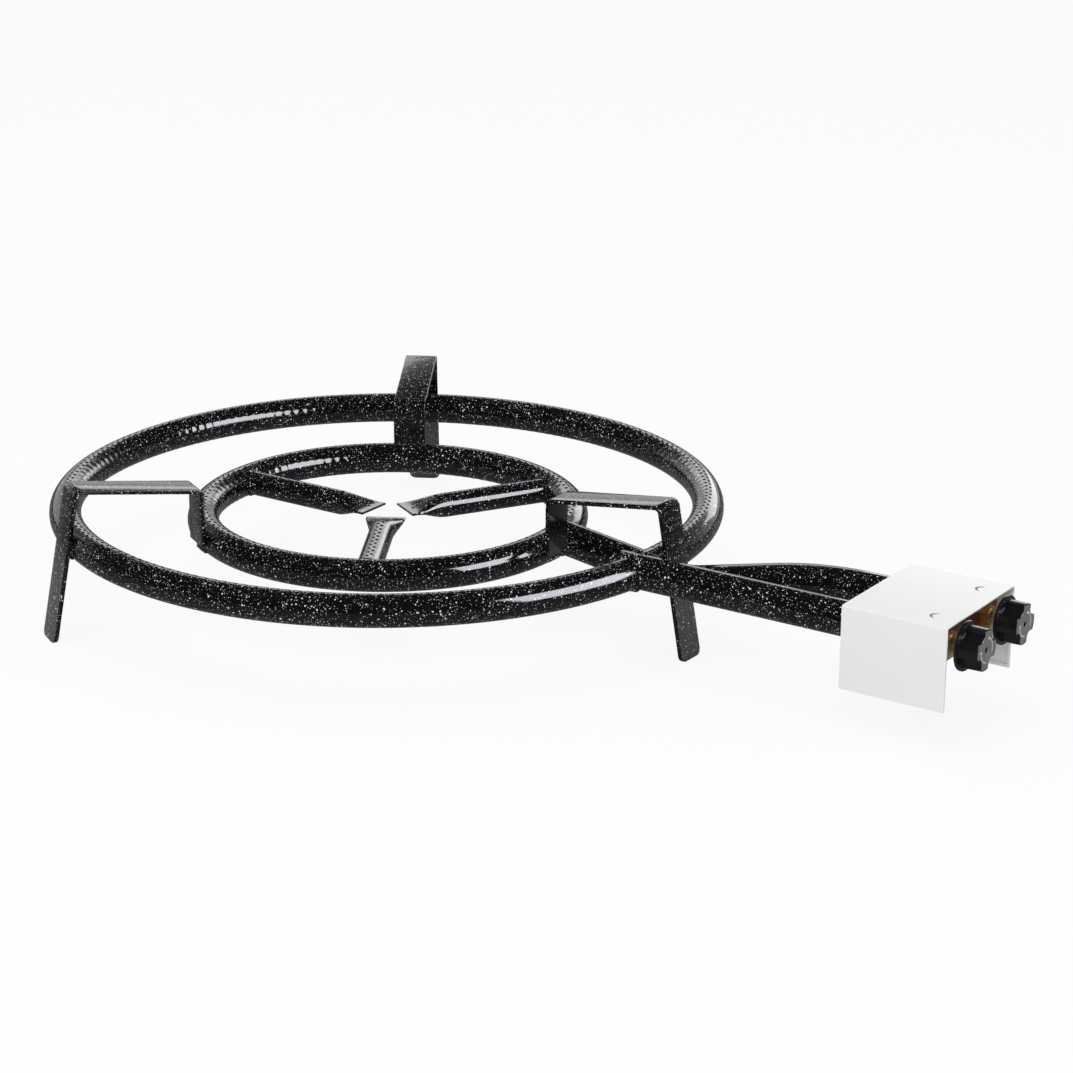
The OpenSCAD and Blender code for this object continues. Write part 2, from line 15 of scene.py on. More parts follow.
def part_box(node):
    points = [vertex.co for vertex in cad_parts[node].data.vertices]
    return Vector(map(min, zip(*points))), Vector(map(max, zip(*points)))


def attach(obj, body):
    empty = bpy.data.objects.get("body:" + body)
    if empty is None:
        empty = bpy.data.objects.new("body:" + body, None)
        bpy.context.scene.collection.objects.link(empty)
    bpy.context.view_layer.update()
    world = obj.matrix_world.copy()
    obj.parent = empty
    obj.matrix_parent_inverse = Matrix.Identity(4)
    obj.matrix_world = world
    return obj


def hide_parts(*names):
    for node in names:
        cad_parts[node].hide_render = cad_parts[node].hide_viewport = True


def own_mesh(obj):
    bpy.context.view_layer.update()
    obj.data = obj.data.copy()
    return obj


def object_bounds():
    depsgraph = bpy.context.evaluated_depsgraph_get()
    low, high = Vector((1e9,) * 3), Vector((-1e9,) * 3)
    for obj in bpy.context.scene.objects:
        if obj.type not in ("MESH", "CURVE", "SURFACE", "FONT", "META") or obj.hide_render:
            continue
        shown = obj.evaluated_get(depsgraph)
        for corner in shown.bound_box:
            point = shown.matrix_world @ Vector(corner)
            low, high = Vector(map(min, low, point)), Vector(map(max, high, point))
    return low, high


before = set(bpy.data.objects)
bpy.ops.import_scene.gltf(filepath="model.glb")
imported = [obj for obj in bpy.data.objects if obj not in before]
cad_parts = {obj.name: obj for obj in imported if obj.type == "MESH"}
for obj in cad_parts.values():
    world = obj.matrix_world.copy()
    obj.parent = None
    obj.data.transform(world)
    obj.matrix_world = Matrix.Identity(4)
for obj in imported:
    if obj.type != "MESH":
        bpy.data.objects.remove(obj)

CAD_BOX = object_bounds()
LOG = logging.getLogger("burner")
MM = 0.001
RING_LOW, RING_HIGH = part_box("outer_ring")
RING_CENTRE = (RING_LOW + RING_HIGH) / 2
ORIGIN = Vector()
OUT = Vector((1.0, 0.0, 0.0))
ASIDE = Vector((0.0, 1.0, 0.0))
UP = Vector((0.0, 0.0, 1.0))
QUARTER = math.pi / 2
FIXED_BODY = "burner"

# Sizes that several pieces share, in millimetres and degrees, from the middle of the outer ring.
OUTER_RADIUS = 286.0
INNER_RADIUS = 165.0
INNER_LEVEL = -13.5
RING_TUBE = 14.0
SPOKE_TUBE = 11.0
FEED_TUBE = 15.0
TAP_SIDE = 35.0
PORT_PITCH = 9.4
PORT_DEPTH = 4.0
LEG_SPLAY = 10.5

Colour = tuple[float, float, float, float]
Section = Callable[[float], Vector]
Spine = list[tuple[Vector, Vector]]
Value = Union["Signal", float]


def grey(level: float, warm: float = 0.0) -> Colour:
    """Gives a grey of that level, warmer for a positive second value."""
    return (level * (1 + warm), level, level * (1 - warm), 1.0)


def lighter(colour: Colour, times: float) -> Colour:
    """Gives a colour that many times as light."""
    return tuple(times * part for part in colour[:3]) + (1.0,)


def ease(share: float) -> float:
    """Gives a share from 0 to 1 a soft start and end."""
    share = min(1.0, max(0.0, share))
    return share * share * (3 - 2 * share)


def heading(turn: float) -> Vector:
    """Gives the unit vector that many radians above the way out along the feed pipes."""
    return Vector((math.cos(turn), 0, math.sin(turn)))


def towards(azimuth: float, elevation: float) -> Vector:
    """Gives the unit vector from the burner to a place round it.

    Args:
        azimuth: The place's turn about the burner, in degrees.
        elevation: Its height, in degrees.

    Returns:
        The vector.
    """
    turn, lift = math.radians(azimuth), math.radians(elevation)
    level = Vector((math.sin(turn), -math.cos(turn), 0))
    return math.cos(lift) * level + math.sin(lift) * UP


def at_reach(reach: float, y: float, z: float) -> Vector:
    """Gives the point at a distance from the burner's axis, from that and its y and z."""
    return Vector((math.sqrt(reach**2 - y**2), y, z))


def edges_of(verts: Iterable[bmesh.types.BMVert]) -> list[bmesh.types.BMEdge]:
    """Gives the edges at some vertices, each once and in a fixed order."""
    return list(dict.fromkeys(edge for vert in verts for edge in vert.link_edges))


class Signal:
    """A socket that takes part in shader arithmetic."""

    def __init__(self, shader: "Shader", socket: bpy.types.NodeSocket) -> None:
        """Keeps the socket and the shader that it belongs to."""
        self.shader = shader
        self.socket = socket

    def _math(
        self, operation: str, left: Value, right: Value = 0.0, clamp: bool = False
    ) -> "Signal":
        """Adds a Math node on two values, whose result may be kept from 0 to 1."""
        settings = {"operation": operation, "use_clamp": clamp}
        return self.shader.signal("ShaderNodeMath", settings, {0: left, 1: right})

    def __add__(self, other: Value) -> "Signal":
        """Adds a value."""
        return self._math("ADD", self, other)

    def __radd__(self, other: Value) -> "Signal":
        """Adds to a value."""
        return self._math("ADD", other, self)

    def __sub__(self, other: Value) -> "Signal":
        """Takes a value away."""
        return self._math("SUBTRACT", self, other)

    def __rsub__(self, other: Value) -> "Signal":
        """Takes itself from a value."""
        return self._math("SUBTRACT", other, self)

    def __mul__(self, other: Value) -> "Signal":
        """Multiplies by a value."""
        return self._math("MULTIPLY", self, other)

    def __rmul__(self, other: Value) -> "Signal":
        """Multiplies a value."""
        return self._math("MULTIPLY", other, self)

    def clamp(self) -> "Signal":
        """Keeps the value from 0 to 1."""
        return self._math("ADD", self, 0.0, clamp=True)

    def larger(self, other: Value) -> "Signal":
        """Gives the larger of two values."""
        return self._math("MAXIMUM", self, other)

    def ramp(self, low: float, high: float) -> "Signal":
        """Gives a soft step from 0 to 1.

        Args:
            low: Where it starts.
            high: Where it ends.

        Returns:
            The step.
        """
        settings = {"interpolation_type": "SMOOTHSTEP"}
        values = {"Value": self, "From Min": low, "From Max": high}
        return self.shader.signal("ShaderNodeMapRange", settings, values)


class Shader:
    """The nodes of one material or of the world."""

    def __init__(self, tree: bpy.types.NodeTree) -> None:
        """Starts from an empty tree."""
        self.tree = tree
        tree.nodes.clear()

    def node(
        self,
        kind: str,
        settings: Optional[dict[str, Any]] = None,
        inputs: Optional[dict[Union[int, str], Any]] = None,
    ) -> bpy.types.Node:
        """Adds a node.

        Args:
            kind: The node's type.
            settings: Its own settings, with a ramp's stops under "stops".
            inputs: Values or signals for its sockets.

        Returns:
            The new node.
        """
        made = self.tree.nodes.new(kind)
        for key, value in (settings or {}).items():
            if key == "stops":
                self._stops(made.color_ramp, value)
            else:
                setattr(made, key, value)
        for key, value in (inputs or {}).items():
            if isinstance(value, Signal):
                self.tree.links.new(value.socket, made.inputs[key])
            else:
                made.inputs[key].default_value = value
        return made

    @staticmethod
    def _stops(ramp: bpy.types.ColorRamp, stops: Sequence[tuple[float, Colour]]) -> None:
        """Sets a ramp's stops.

        Args:
            ramp: The ramp.
            stops: The place and the colour of each stop.
        """
        while len(ramp.elements) < len(stops):
            ramp.elements.new(1.0)
        for element, (place, colour) in zip(ramp.elements, stops):
            element.position = place
            element.color = colour

    def signal(
        self,
        kind: str,
        settings: Optional[dict[str, Any]] = None,
        inputs: Optional[dict[Union[int, str], Any]] = None,
        output: Union[int, str] = 0,
    ) -> Signal:
        """Adds a node with its settings and inputs, and gives one of its outputs."""
        return Signal(self, self.node(kind, settings, inputs).outputs[output])

    def mix(self, share: Value, first: Any, second: Any) -> Signal:
        """Mixes two colours, at the places of the Mix node's colour sockets."""
        values = {0: share, 6: first, 7: second}
        return self.signal("ShaderNodeMix", {"data_type": "RGBA"}, values, 2)

    def vector(self, operation: str, values: dict[Union[int, str], Any]) -> bpy.types.Node:
        """Adds a Vector Math node."""
        return self.node("ShaderNodeVectorMath", {"operation": operation}, values)

    def place(self) -> Signal:
        """Gives the place on the piece, in millimetres."""
        metres = self.signal("ShaderNodeTexCoord", output="Object")
        return Signal(self, self.vector("SCALE", {0: metres, "Scale": 1 / MM}).outputs["Vector"])

    def stretch(self, place: Signal, times: tuple[float, float, float]) -> Signal:
        """Multiplies a place by a number for each axis."""
        return Signal(self, self.vector("MULTIPLY", {0: place, 1: times}).outputs["Vector"])

    def height(self, place: Signal) -> Signal:
        """Gives the height of a place."""
        return self.signal("ShaderNodeSeparateXYZ", None, {0: place}, "Z")

    def noise(self, place: Signal, size: float, detail: float = 2.0, rough: float = 0.5) -> Signal:
        """Gives soft noise whose lumps are about that many millimetres wide."""
        values = {"Vector": place, "Scale": 1.0 / size, "Detail": detail, "Roughness": rough}
        return self.signal("ShaderNodeTexNoise", None, values)

    def cells(self, place: Signal, size: float) -> tuple[Signal, Signal]:
        """Scatters points.

        Args:
            place: The place on the piece.
            size: The mean distance between points, in millimetres.

        Returns:
            The distance to the nearest point in cell widths, and that point's own random value.
        """
        made = self.node("ShaderNodeTexVoronoi", None, {"Vector": place, "Scale": 1.0 / size})
        colour = Signal(self, made.outputs["Color"])
        chance = self.signal("ShaderNodeSeparateColor", None, {0: colour})
        return Signal(self, made.outputs["Distance"]), chance

    def bump(self, height: Signal, depth: float) -> Signal:
        """Turns a height from 0 to 1 into a normal, for a relief that many millimetres deep."""
        values = {"Height": height, "Distance": depth * MM, "Strength": 1.0}
        return self.signal("ShaderNodeBump", None, values)

    def rays(self) -> tuple[Signal, Signal]:
        """Sorts the rays that meet a surface.

        Returns:
            Whether a ray comes from the camera or through glass, and whether it is a reflection.
        """
        path = self.node("ShaderNodeLightPath")
        camera, glass, gloss = (
            Signal(self, path.outputs[f"Is {kind} Ray"])
            for kind in ("Camera", "Transmission", "Glossy")
        )
        return camera.larger(glass), gloss


@dataclass(frozen=True)
class Finish:
    """A surface finish with its name and its slot in the record. Sizes are in millimetres."""

    name: str
    slot: str

    def sockets(self, shader: Shader) -> dict[str, Any]:
        """Gives the values and signals of the surface's sockets."""
        raise NotImplementedError

    @cache
    def material(self) -> bpy.types.Material:
        """Builds the material once, and gives it again after that.

        Returns:
            The finish's material.
        """
        made = bpy.data.materials.new(self.name)
        made.use_nodes = True
        shader = Shader(made.node_tree)
        surface = shader.signal("ShaderNodeBsdfPrincipled", None, self.sockets(shader))
        shader.node("ShaderNodeOutputMaterial", None, {"Surface": surface})
        return made


@dataclass(frozen=True)
class SpeckledEnamel(Finish):
    """Black vitreous enamel with white specks fired into it.

    Each layer of specks has its spacing, its spread of radii, the share of points that stay bare,
    and its whiteness. A painted sheen, standing in for the floor's reflection, lightens the ground
    below the two heights.
    """

    ground: Colour = grey(0.003, -0.08)
    painted_floor_sheen: float = 0.0
    speck: Colour = (0.86, 0.87, 0.9, 1.0)
    gloss: float = 0.07
    ripple: float = 0.05
    layers: tuple[tuple[float, float, float, float], ...] = (
        (2.4, 0.5, 0.33, 1.0), (4.4, 0.56, 0.55, 1.0), (1.3, 0.4, 0.14, 0.7)
    )
    drift_size: float = 38.0
    uneven: float = 0.12
    crisp: float = 9.0
    painted_sheen_heights: tuple[float, float] = (45.0, 100.0)
    wave_size: float = 7.0
    fine_wave_size: float = 1.6
    fine_wave: float = 0.18
    haze_size: float = 11.0
    haze: float = 0.05
    speck_rough: float = 0.08

    def sockets(self, shader: Shader) -> dict[str, Any]:
        """Gives specks of three sizes, a wavy gloss, a faintly uneven ground and any painted sheen.

        Args:
            shader: The material's nodes.

        Returns:
            The values and signals of the surface's sockets.
        """
        place = shader.place()
        drift = shader.noise(place, self.drift_size)
        specks: Value = 0.0
        for size, reach, bare, white in self.layers:
            distance, chance = shader.cells(place, size)
            radius = (chance - bare) * reach + (drift - 0.5) * self.uneven
            spot = ((radius - distance) * self.crisp).clamp()
            specks = (spot * (white * (0.75 + 0.25 * chance))).larger(specks)
        shade = shader.mix(drift, self.ground, lighter(self.ground, 1.5))
        # Painted sheen: the ground turns lighter grey below two heights, standing in for the
        # floor's reflection.
        if self.painted_floor_sheen:
            above_sheen = shader.height(place).ramp(*self.painted_sheen_heights)
            painted_sheen = (1.0 - above_sheen) * (0.6 + 0.8 * drift)
            shade = shader.mix(painted_sheen.clamp(), shade, grey(self.painted_floor_sheen))
        fine = shader.noise(place, self.fine_wave_size, 1.0)
        waves = shader.noise(place, self.wave_size, 1.0) + fine * self.fine_wave
        haze = shader.noise(place, self.haze_size) * self.haze
        return {
            "Base Color": shader.mix(specks, shade, self.speck),
            "Roughness": self.gloss + haze + specks * self.speck_rough,
            "Normal": shader.bump(waves, self.ripple),
        }


@dataclass(frozen=True)
class PowderCoat(Finish):
    """White paint baked on sheet steel."""

    white: Colour = (0.87, 0.87, 0.872, 1.0)
    rough: float = 0.34
    shine: float = 0.25
    drift_size: float = 45.0
    peel_size: float = 1.3
    peel: float = 0.012

    def sockets(self, shader: Shader) -> dict[str, Any]:
        """Gives a nearly even white with a fine orange-peel relief.

        Args:
            shader: The material's nodes.

        Returns:
            The values and signals of the surface's sockets.
        """
        place = shader.place()
        drift = shader.noise(place, self.drift_size)
        peel = shader.noise(place, self.peel_size, 1.0)
        return {
            "Base Color": shader.mix(drift, lighter(self.white, 0.965), self.white),
            "Roughness": self.rough + peel * 0.1,
            "Specular IOR Level": self.shine,
            "Normal": shader.bump(peel, self.peel),
        }


@dataclass(frozen=True)
class YellowPassivate(Finish):
    """Zinc plate with a yellow to red-brown passivation that runs in clouds.

    Painted shade darkens it upwards, where the cover's roof shades it.
    """

    tints: tuple[tuple[float, Colour], ...] = (
        (0.25, (0.74, 0.62, 0.33, 1.0)),
        (0.42, (0.66, 0.44, 0.14, 1.0)),
        (0.56, (0.34, 0.12, 0.07, 1.0)),
        (0.70, (0.21, 0.065, 0.06, 1.0)),
        (0.90, (0.30, 0.20, 0.10, 1.0)),
    )
    cloud_size: float = 22.0
    middle: float = 84.0
    painted_shade_upwards: float = 0.016
    rough: float = 0.22
    line_size: float = 0.8
    lines: float = 0.01

    def sockets(self, shader: Shader) -> dict[str, Any]:
        """Gives iridescent clouds over a metal with drawing lines, and painted shade upwards.

        Args:
            shader: The material's nodes.

        Returns:
            The values and signals of the surface's sockets.
        """
        place = shader.place()
        above = shader.height(place) - self.middle
        # Painted shade: higher up the clouds run into the dark red-brown stops, where the cover's
        # roof shades the chassis.
        cloud = shader.noise(place, self.cloud_size, 3.0) * 0.4 + above * self.painted_shade_upwards + 0.43
        lines = shader.noise(shader.stretch(place, (1.0, 0.04, 1.0)), self.line_size)
        return {
            "Base Color": shader.signal("ShaderNodeValToRGB", {"stops": self.tints}, {0: cloud}),
            "Metallic": 1.0,
            "Roughness": self.rough + lines * 0.16,
            "Normal": shader.bump(lines, self.lines),
        }


@dataclass(frozen=True)
class PlainMetal(Finish):
    """Bare or plated metal with tarnish, tool marks and a soft sheen."""

    bright: Colour = (0.62, 0.63, 0.65, 1.0)
    dull: Colour = (0.44, 0.45, 0.47, 1.0)
    rough: float = 0.3
    marks: float = 0.012
    mark_size: float = 0.5
    cloud_size: float = 9.0

    def sockets(self, shader: Shader) -> dict[str, Any]:
        """Gives clouds of tarnish and fine marks across the turning axis.

        Args:
            shader: The material's nodes.

        Returns:
            The values and signals of the surface's sockets.
        """
        place = shader.place()
        cloud = shader.noise(place, self.cloud_size, 4.0, 0.6)
        lines = shader.noise(shader.stretch(place, (1.0, 0.12, 0.12)), self.mark_size)
        return {
            "Base Color": shader.mix(cloud.ramp(0.35, 0.7), self.bright, self.dull),
            "Metallic": 1.0,
            "Roughness": self.rough + cloud * 0.14,
            "Normal": shader.bump(lines, self.marks),
        }


@dataclass(frozen=True)
class MouldedPlastic(Finish):
    """Black thermoset or rubber with a moulded grain."""

    black: Colour = grey(0.0045, -0.1)
    rough: float = 0.16
    grain: float = 0.006
    grain_size: float = 0.9
    wear_size: float = 8.0

    def sockets(self, shader: Shader) -> dict[str, Any]:
        """Gives a black with a fine grain and slight handling wear.

        Args:
            shader: The material's nodes.

        Returns:
            The values and signals of the surface's sockets.
        """
        place = shader.place()
        fine = shader.noise(place, self.grain_size)
        wear = shader.noise(place, self.wear_size, 3.0)
        return {
            "Base Color": shader.mix(wear, self.black, lighter(self.black, 2.0)),
            "Roughness": self.rough + wear * 0.08 + fine * 0.06,
            "Normal": shader.bump(fine, self.grain),
        }


@dataclass(frozen=True)
class PrintOrPaintedShade(Finish):
    """A mark printed on a knob, or a crescent of painted shade on the cover."""

    ink_or_shade: Colour = (0.80, 0.80, 0.78, 1.0)
    rough: float = 0.45
    blot_size: float = 1.1

    def sockets(self, shader: Shader) -> dict[str, Any]:
        """Gives a print or a painted shade that is slightly uneven.

        Args:
            shader: The material's nodes.

        Returns:
            The values and signals of the surface's sockets.
        """
        thin = shader.noise(shader.place(), self.blot_size, 3.0)
        return {
            "Base Color": shader.mix(thin, lighter(self.ink_or_shade, 0.8), self.ink_or_shade),
            "Roughness": self.rough + thin * 0.1,
        }


ENAMEL = SpeckledEnamel("speckled_enamel", "enamel")
# Leg enamel whose ground is lightened near the floor: a painted sheen of the floor's reflection.
BAR_ENAMEL = SpeckledEnamel(
    "leg_enamel", "bar_enamel", painted_floor_sheen=0.075, gloss=0.1, ripple=0.07,
    layers=((2.2, 0.5, 0.32, 1.0), (4.0, 0.52, 0.56, 1.0), (1.25, 0.4, 0.16, 0.7)),
)
# The port lips' enamel: a lighter grey ground that paints the highlight of light caught on each
# lip.
PORT_LIP_HIGHLIGHT = SpeckledEnamel("port_lip_painted_highlight", "enamel", ground=grey(0.13), gloss=0.2)
WHITE_PAINT = PowderCoat("cover_paint", "white_paint")
YELLOW_ZINC = YellowPassivate("yellow_passivate", "yellow_zinc")
ZINC = PlainMetal("bright_zinc", "zinc_steel")
BRASS = PlainMetal(
    "turned_brass", "brass", (0.74, 0.55, 0.25, 1.0), (0.52, 0.34, 0.13, 1.0), rough=0.26
)
SPRING = PlainMetal(
    "spring_wire", "spring_steel", (0.42, 0.43, 0.45, 1.0), (0.28, 0.28, 0.30, 1.0), rough=0.34
)
SEAL = MouldedPlastic("seal_rubber", "seal", grey(0.03), rough=0.6, grain=0.01, grain_size=0.6)
PLASTIC = MouldedPlastic("knob_gloss", "black_plastic")
# The knob faces' grey: a painted sheen of the lamps on their grained plastic.
KNOB_FACE_SHEEN = MouldedPlastic("knob_face", "black_plastic", grey(0.1), rough=0.4, grain=0.12)
KNOB_MARK = PrintOrPaintedShade("knob_mark", "black_plastic")
# The cover's crescents: dark grey painted shade that stands for the shaded side of pressed lances.
COVER_LANCE_SHADE = PrintOrPaintedShade("cover_lance_painted_shade", "white_paint", grey(0.13))


class Ends(Enum):
    """What happens at the two ends of a loft."""

    CAPPED = "capped"
    JOINED = "joined"


class Form:
    """A mesh that is being shaped, in millimetres in the frame of the outer ring."""

    SHARP = math.radians(38)
    MERGE = 0.0005

    def __init__(self) -> None:
        """Starts from an empty mesh whose loops know their own turn."""
        self.bm = bmesh.new()
        self.turn = self.bm.verts.layers.float.new("turn")

    def _put(self, loop: Sequence[bmesh.types.BMVert], section: Section) -> None:
        """Moves a loop onto a section."""
        for vert in loop:
            vert.co = section(vert[self.turn])

    def loft(
        self, sections: Sequence[Section], segments: int, ends: Ends = Ends.CAPPED,
        start: float = 0.5,
    ) -> None:
        """Draws a round loop through a row of sections by extruding it.

        Args:
            sections: Each gives a point for a turn from -pi to pi.
            segments: The loop's number of points.
            ends: What happens at the two ends.
            start: The share of a step by which the loop's first point is turned.
        """
        loop = bmesh.ops.create_circle(self.bm, segments=segments, radius=1.0)["verts"]
        first_turn = Matrix.Rotation(start * math.tau / segments, 3, "Z")
        bmesh.ops.rotate(self.bm, cent=ORIGIN, matrix=first_turn, verts=loop)
        for vert in loop:
            vert[self.turn] = math.atan2(vert.co.y, vert.co.x)
        first = edges = edges_of(loop)
        self._put(loop, sections[0])
        for section in sections[1:]:
            grown = bmesh.ops.extrude_edge_only(self.bm, edges=edges)["geom"]
            loop = [item for item in grown if isinstance(item, bmesh.types.BMVert)]
            fresh = set(loop)
            edges = [
                item for item in grown
                if isinstance(item, bmesh.types.BMEdge) and fresh.issuperset(item.verts)
            ]
            self._put(loop, section)
        if ends is Ends.CAPPED:
            for rim in (first, edges):
                bmesh.ops.edgeloop_fill(self.bm, edges=rim)
        else:
            bmesh.ops.bridge_loops(self.bm, edges=first + edges)

    def wind(
        self, radius: float, segments: int, start: Matrix, centre: Vector, axis: Vector,
        angle: float, steps: int, rise: Vector = ORIGIN,
    ) -> None:
        """Winds a tube about an axis.

        Args:
            radius: The tube's radius.
            segments: The number of points round it.
            start: Takes a level circle at the origin to the tube's start.
            centre: A point of the axis.
            axis: The axis's direction.
            angle: How far the tube goes round.
            steps: The number of steps it takes.
            rise: How far it goes along in each step.
        """
        made = bmesh.ops.create_circle(self.bm, segments=segments, radius=radius, matrix=start)
        loop = made["verts"]
        bmesh.ops.spin(
            self.bm, geom=loop + edges_of(loop), cent=centre, axis=axis, dvec=rise, angle=angle,
            steps=steps, use_merge=False, use_normal_flip=False, use_duplicate=False,
        )

    def bevel(self, edges: Sequence[bmesh.types.BMEdge], offset: float, segments: int) -> None:
        """Rounds edges."""
        bmesh.ops.bevel(
            self.bm, geom=edges, offset=offset, affect="EDGES", segments=segments, profile=0.5,
            material=-1,
        )

    def box(self, low: Sequence[float], high: Sequence[float], edge: float) -> None:
        """Adds a block with rounded edges.

        Args:
            low: Its lowest corner.
            high: Its highest corner.
            edge: How much its edges are rounded.
        """
        made = bmesh.ops.create_cube(self.bm, size=1.0)["verts"]
        low, high = Vector(low), Vector(high)
        bmesh.ops.scale(self.bm, vec=high - low, verts=made)
        bmesh.ops.translate(self.bm, vec=(high + low) / 2, verts=made)
        self.bevel(edges_of(made), edge, 2)

    def turn_about_axis(self, degrees: float) -> None:
        """Turns the whole form about the burner's axis."""
        matrix = Matrix.Rotation(math.radians(degrees), 3, "Z")
        bmesh.ops.rotate(self.bm, cent=ORIGIN, matrix=matrix, verts=self.bm.verts)

    def finish(
        self, name: str, finish: Finish, body: str = FIXED_BODY, replaces: Sequence[str] = (),
        edge_finish: Optional[Finish] = None,
    ) -> bpy.types.Object:
        """Makes a piece of the form and lets it ride on a body.

        Args:
            name: The piece's name.
            finish: What it is finished with.
            body: The body that it rides on.
            replaces: The nodes that it stands for.
            edge_finish: What the faces marked as edges are finished with.

        Returns:
            The new piece.
        """
        bmesh.ops.remove_doubles(self.bm, verts=self.bm.verts, dist=self.MERGE)
        bmesh.ops.recalc_face_normals(self.bm, faces=self.bm.faces)
        for face in self.bm.faces:
            face.smooth = True
        for edge in self.bm.edges:
            edge.smooth = not edge.is_manifold or edge.calc_face_angle() < self.SHARP
        mesh = bpy.data.meshes.new(name)
        self.bm.to_mesh(mesh)
        self.bm.free()
        mesh.transform(Matrix.Translation(RING_CENTRE) @ Matrix.Scale(MM, 4))
        mesh.materials.append(finish.material())
        if edge_finish:
            mesh.materials.append(edge_finish.material())
        piece = bpy.data.objects.new(name, mesh)
        bpy.context.scene.collection.objects.link(piece)
        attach(piece, body)
        if replaces:
            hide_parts(*replaces)
        LOG.info("%s: %d faces on %s", name, len(mesh.polygons), body)
        return piece


def hoop(centre: Vector, across: Vector, over: Vector, radius: float) -> Section:
    """Gives a round section about a centre, in the plane of two unit vectors."""
    return lambda turn: centre + radius * (math.cos(turn) * across + math.sin(turn) * over)


def flat_bar(
    centre: Vector, across: Vector, over: Vector, width: float, thick: float, edge: float
) -> Section:
    """Gives a rounded rectangular section.

    Args:
        centre: The section's middle.
        across: Direction of its width.
        over: Direction of its thickness.
        width: Its width.
        thick: Its thickness.
        edge: Radius of its four edges.

    Returns:
        The section.
    """

    def point(turn: float) -> Vector:
        """Places a point of the section.

        Args:
            turn: Its turn about the middle.

        Returns:
            The point.
        """
        cos, sin = math.cos(turn), math.sin(turn)
        x = math.copysign(width / 2 - edge, cos) + edge * cos
        y = math.copysign(thick / 2 - edge, sin) + edge * sin
        return centre + x * across + y * over

    return point


@dataclass
class Bead:
    """Weld bead along a line of points, with the ripple of its runs."""

    radius: float
    ripple: float
    run: float
    segments: int = 10
    taper: int = 4
    thin: float = 0.25

    def lay(self, form: Form, points: Sequence[Vector], closed: bool = True) -> None:
        """Lays the bead.

        Args:
            form: The form that it is added to.
            points: The line that it follows.
            closed: Whether the line goes back to its start. An open bead has thin ends.
        """
        count = len(points)
        middle = sum(points, ORIGIN) / count
        sections, travelled = [], 0.0
        for i, point in enumerate(points):
            after = points[(i + 1) % count] if closed or i + 1 < count else point
            before = points[i - 1] if closed or i else point
            along = (after - before).normalized()
            travelled += (after - point).length
            radius = self.radius * (1 + self.ripple * math.sin(math.tau * travelled / self.run))
            if closed:
                across = point - middle
                across = (across - across.dot(along) * along).normalized()
            else:
                across = UP.cross(along).normalized()
                share = ease(min(i, count - 1 - i) / self.taper)
                radius *= self.thin + (1 - self.thin) * share
            sections.append(hoop(point, across, along.cross(across), radius))
        form.loft(sections, self.segments, Ends.JOINED if closed else Ends.CAPPED)


@dataclass
class Port:
    """Round gas port with a thin lip of enamel, whose sides are painted lighter grey as a
    highlight.
    """

    radius: float = 1.4
    lip: float = 0.05
    edge: float = 0.28
    crest: float = 0.6
    depth: float = PORT_DEPTH
    corners: int = 8

    @staticmethod
    def _grow(form: Form, patch: bmesh.types.BMFace, material: int) -> bmesh.types.BMFace:
        """Extrudes a face in place.

        Args:
            form: The form that it belongs to.
            patch: The face.
            material: The place of the new sides' finish.

        Returns:
            The face at the end.
        """
        grown = bmesh.ops.extrude_discrete_faces(form.bm, faces=[patch])["faces"][0]
        for side in {face for rim in grown.edges for face in rim.link_faces}:
            side.material_index = material
        return grown

    def sink(self, form: Form, spot: Vector, top: Callable[[float, float], float]) -> None:
        """Sinks the port into a tube.

        Args:
            form: The tube's form.
            spot: The grid point that is the port's middle.
            top: Gives the height of the tube's top at a place.
        """
        middle = min(form.bm.verts, key=lambda vert: (vert.co - spot).length_squared)
        corners = {vert for face in middle.link_faces for vert in face.verts} - {middle}
        bmesh.ops.dissolve_verts(form.bm, verts=[middle])
        patch = next(
            face for face in form.bm.faces
            if len(face.verts) == self.corners and corners.issubset(face.verts)
        )
        step = math.tau / self.corners
        # The lip's sides take the second finish, the painted highlight; the surround, the bore and
        # its floor keep the plain enamel.
        rows = ((self.edge, 0.0, 0), (self.crest * self.edge, self.lip, 1), (0.0, 0.0, 1))
        for wider, lift, material in rows:
            radius = self.radius + wider
            patch = self._grow(form, patch, material)
            for vert in patch.verts:
                out = vert.co - spot
                turn = step * round(math.atan2(out.y, out.x) / step)
                x, y = spot.x + radius * math.cos(turn), spot.y + radius * math.sin(turn)
                vert.co = Vector((x, y, top(x, y) + lift))
        floor = self._grow(form, patch, 0)
        bmesh.ops.translate(form.bm, vec=-self.depth * UP, verts=list(floor.verts))


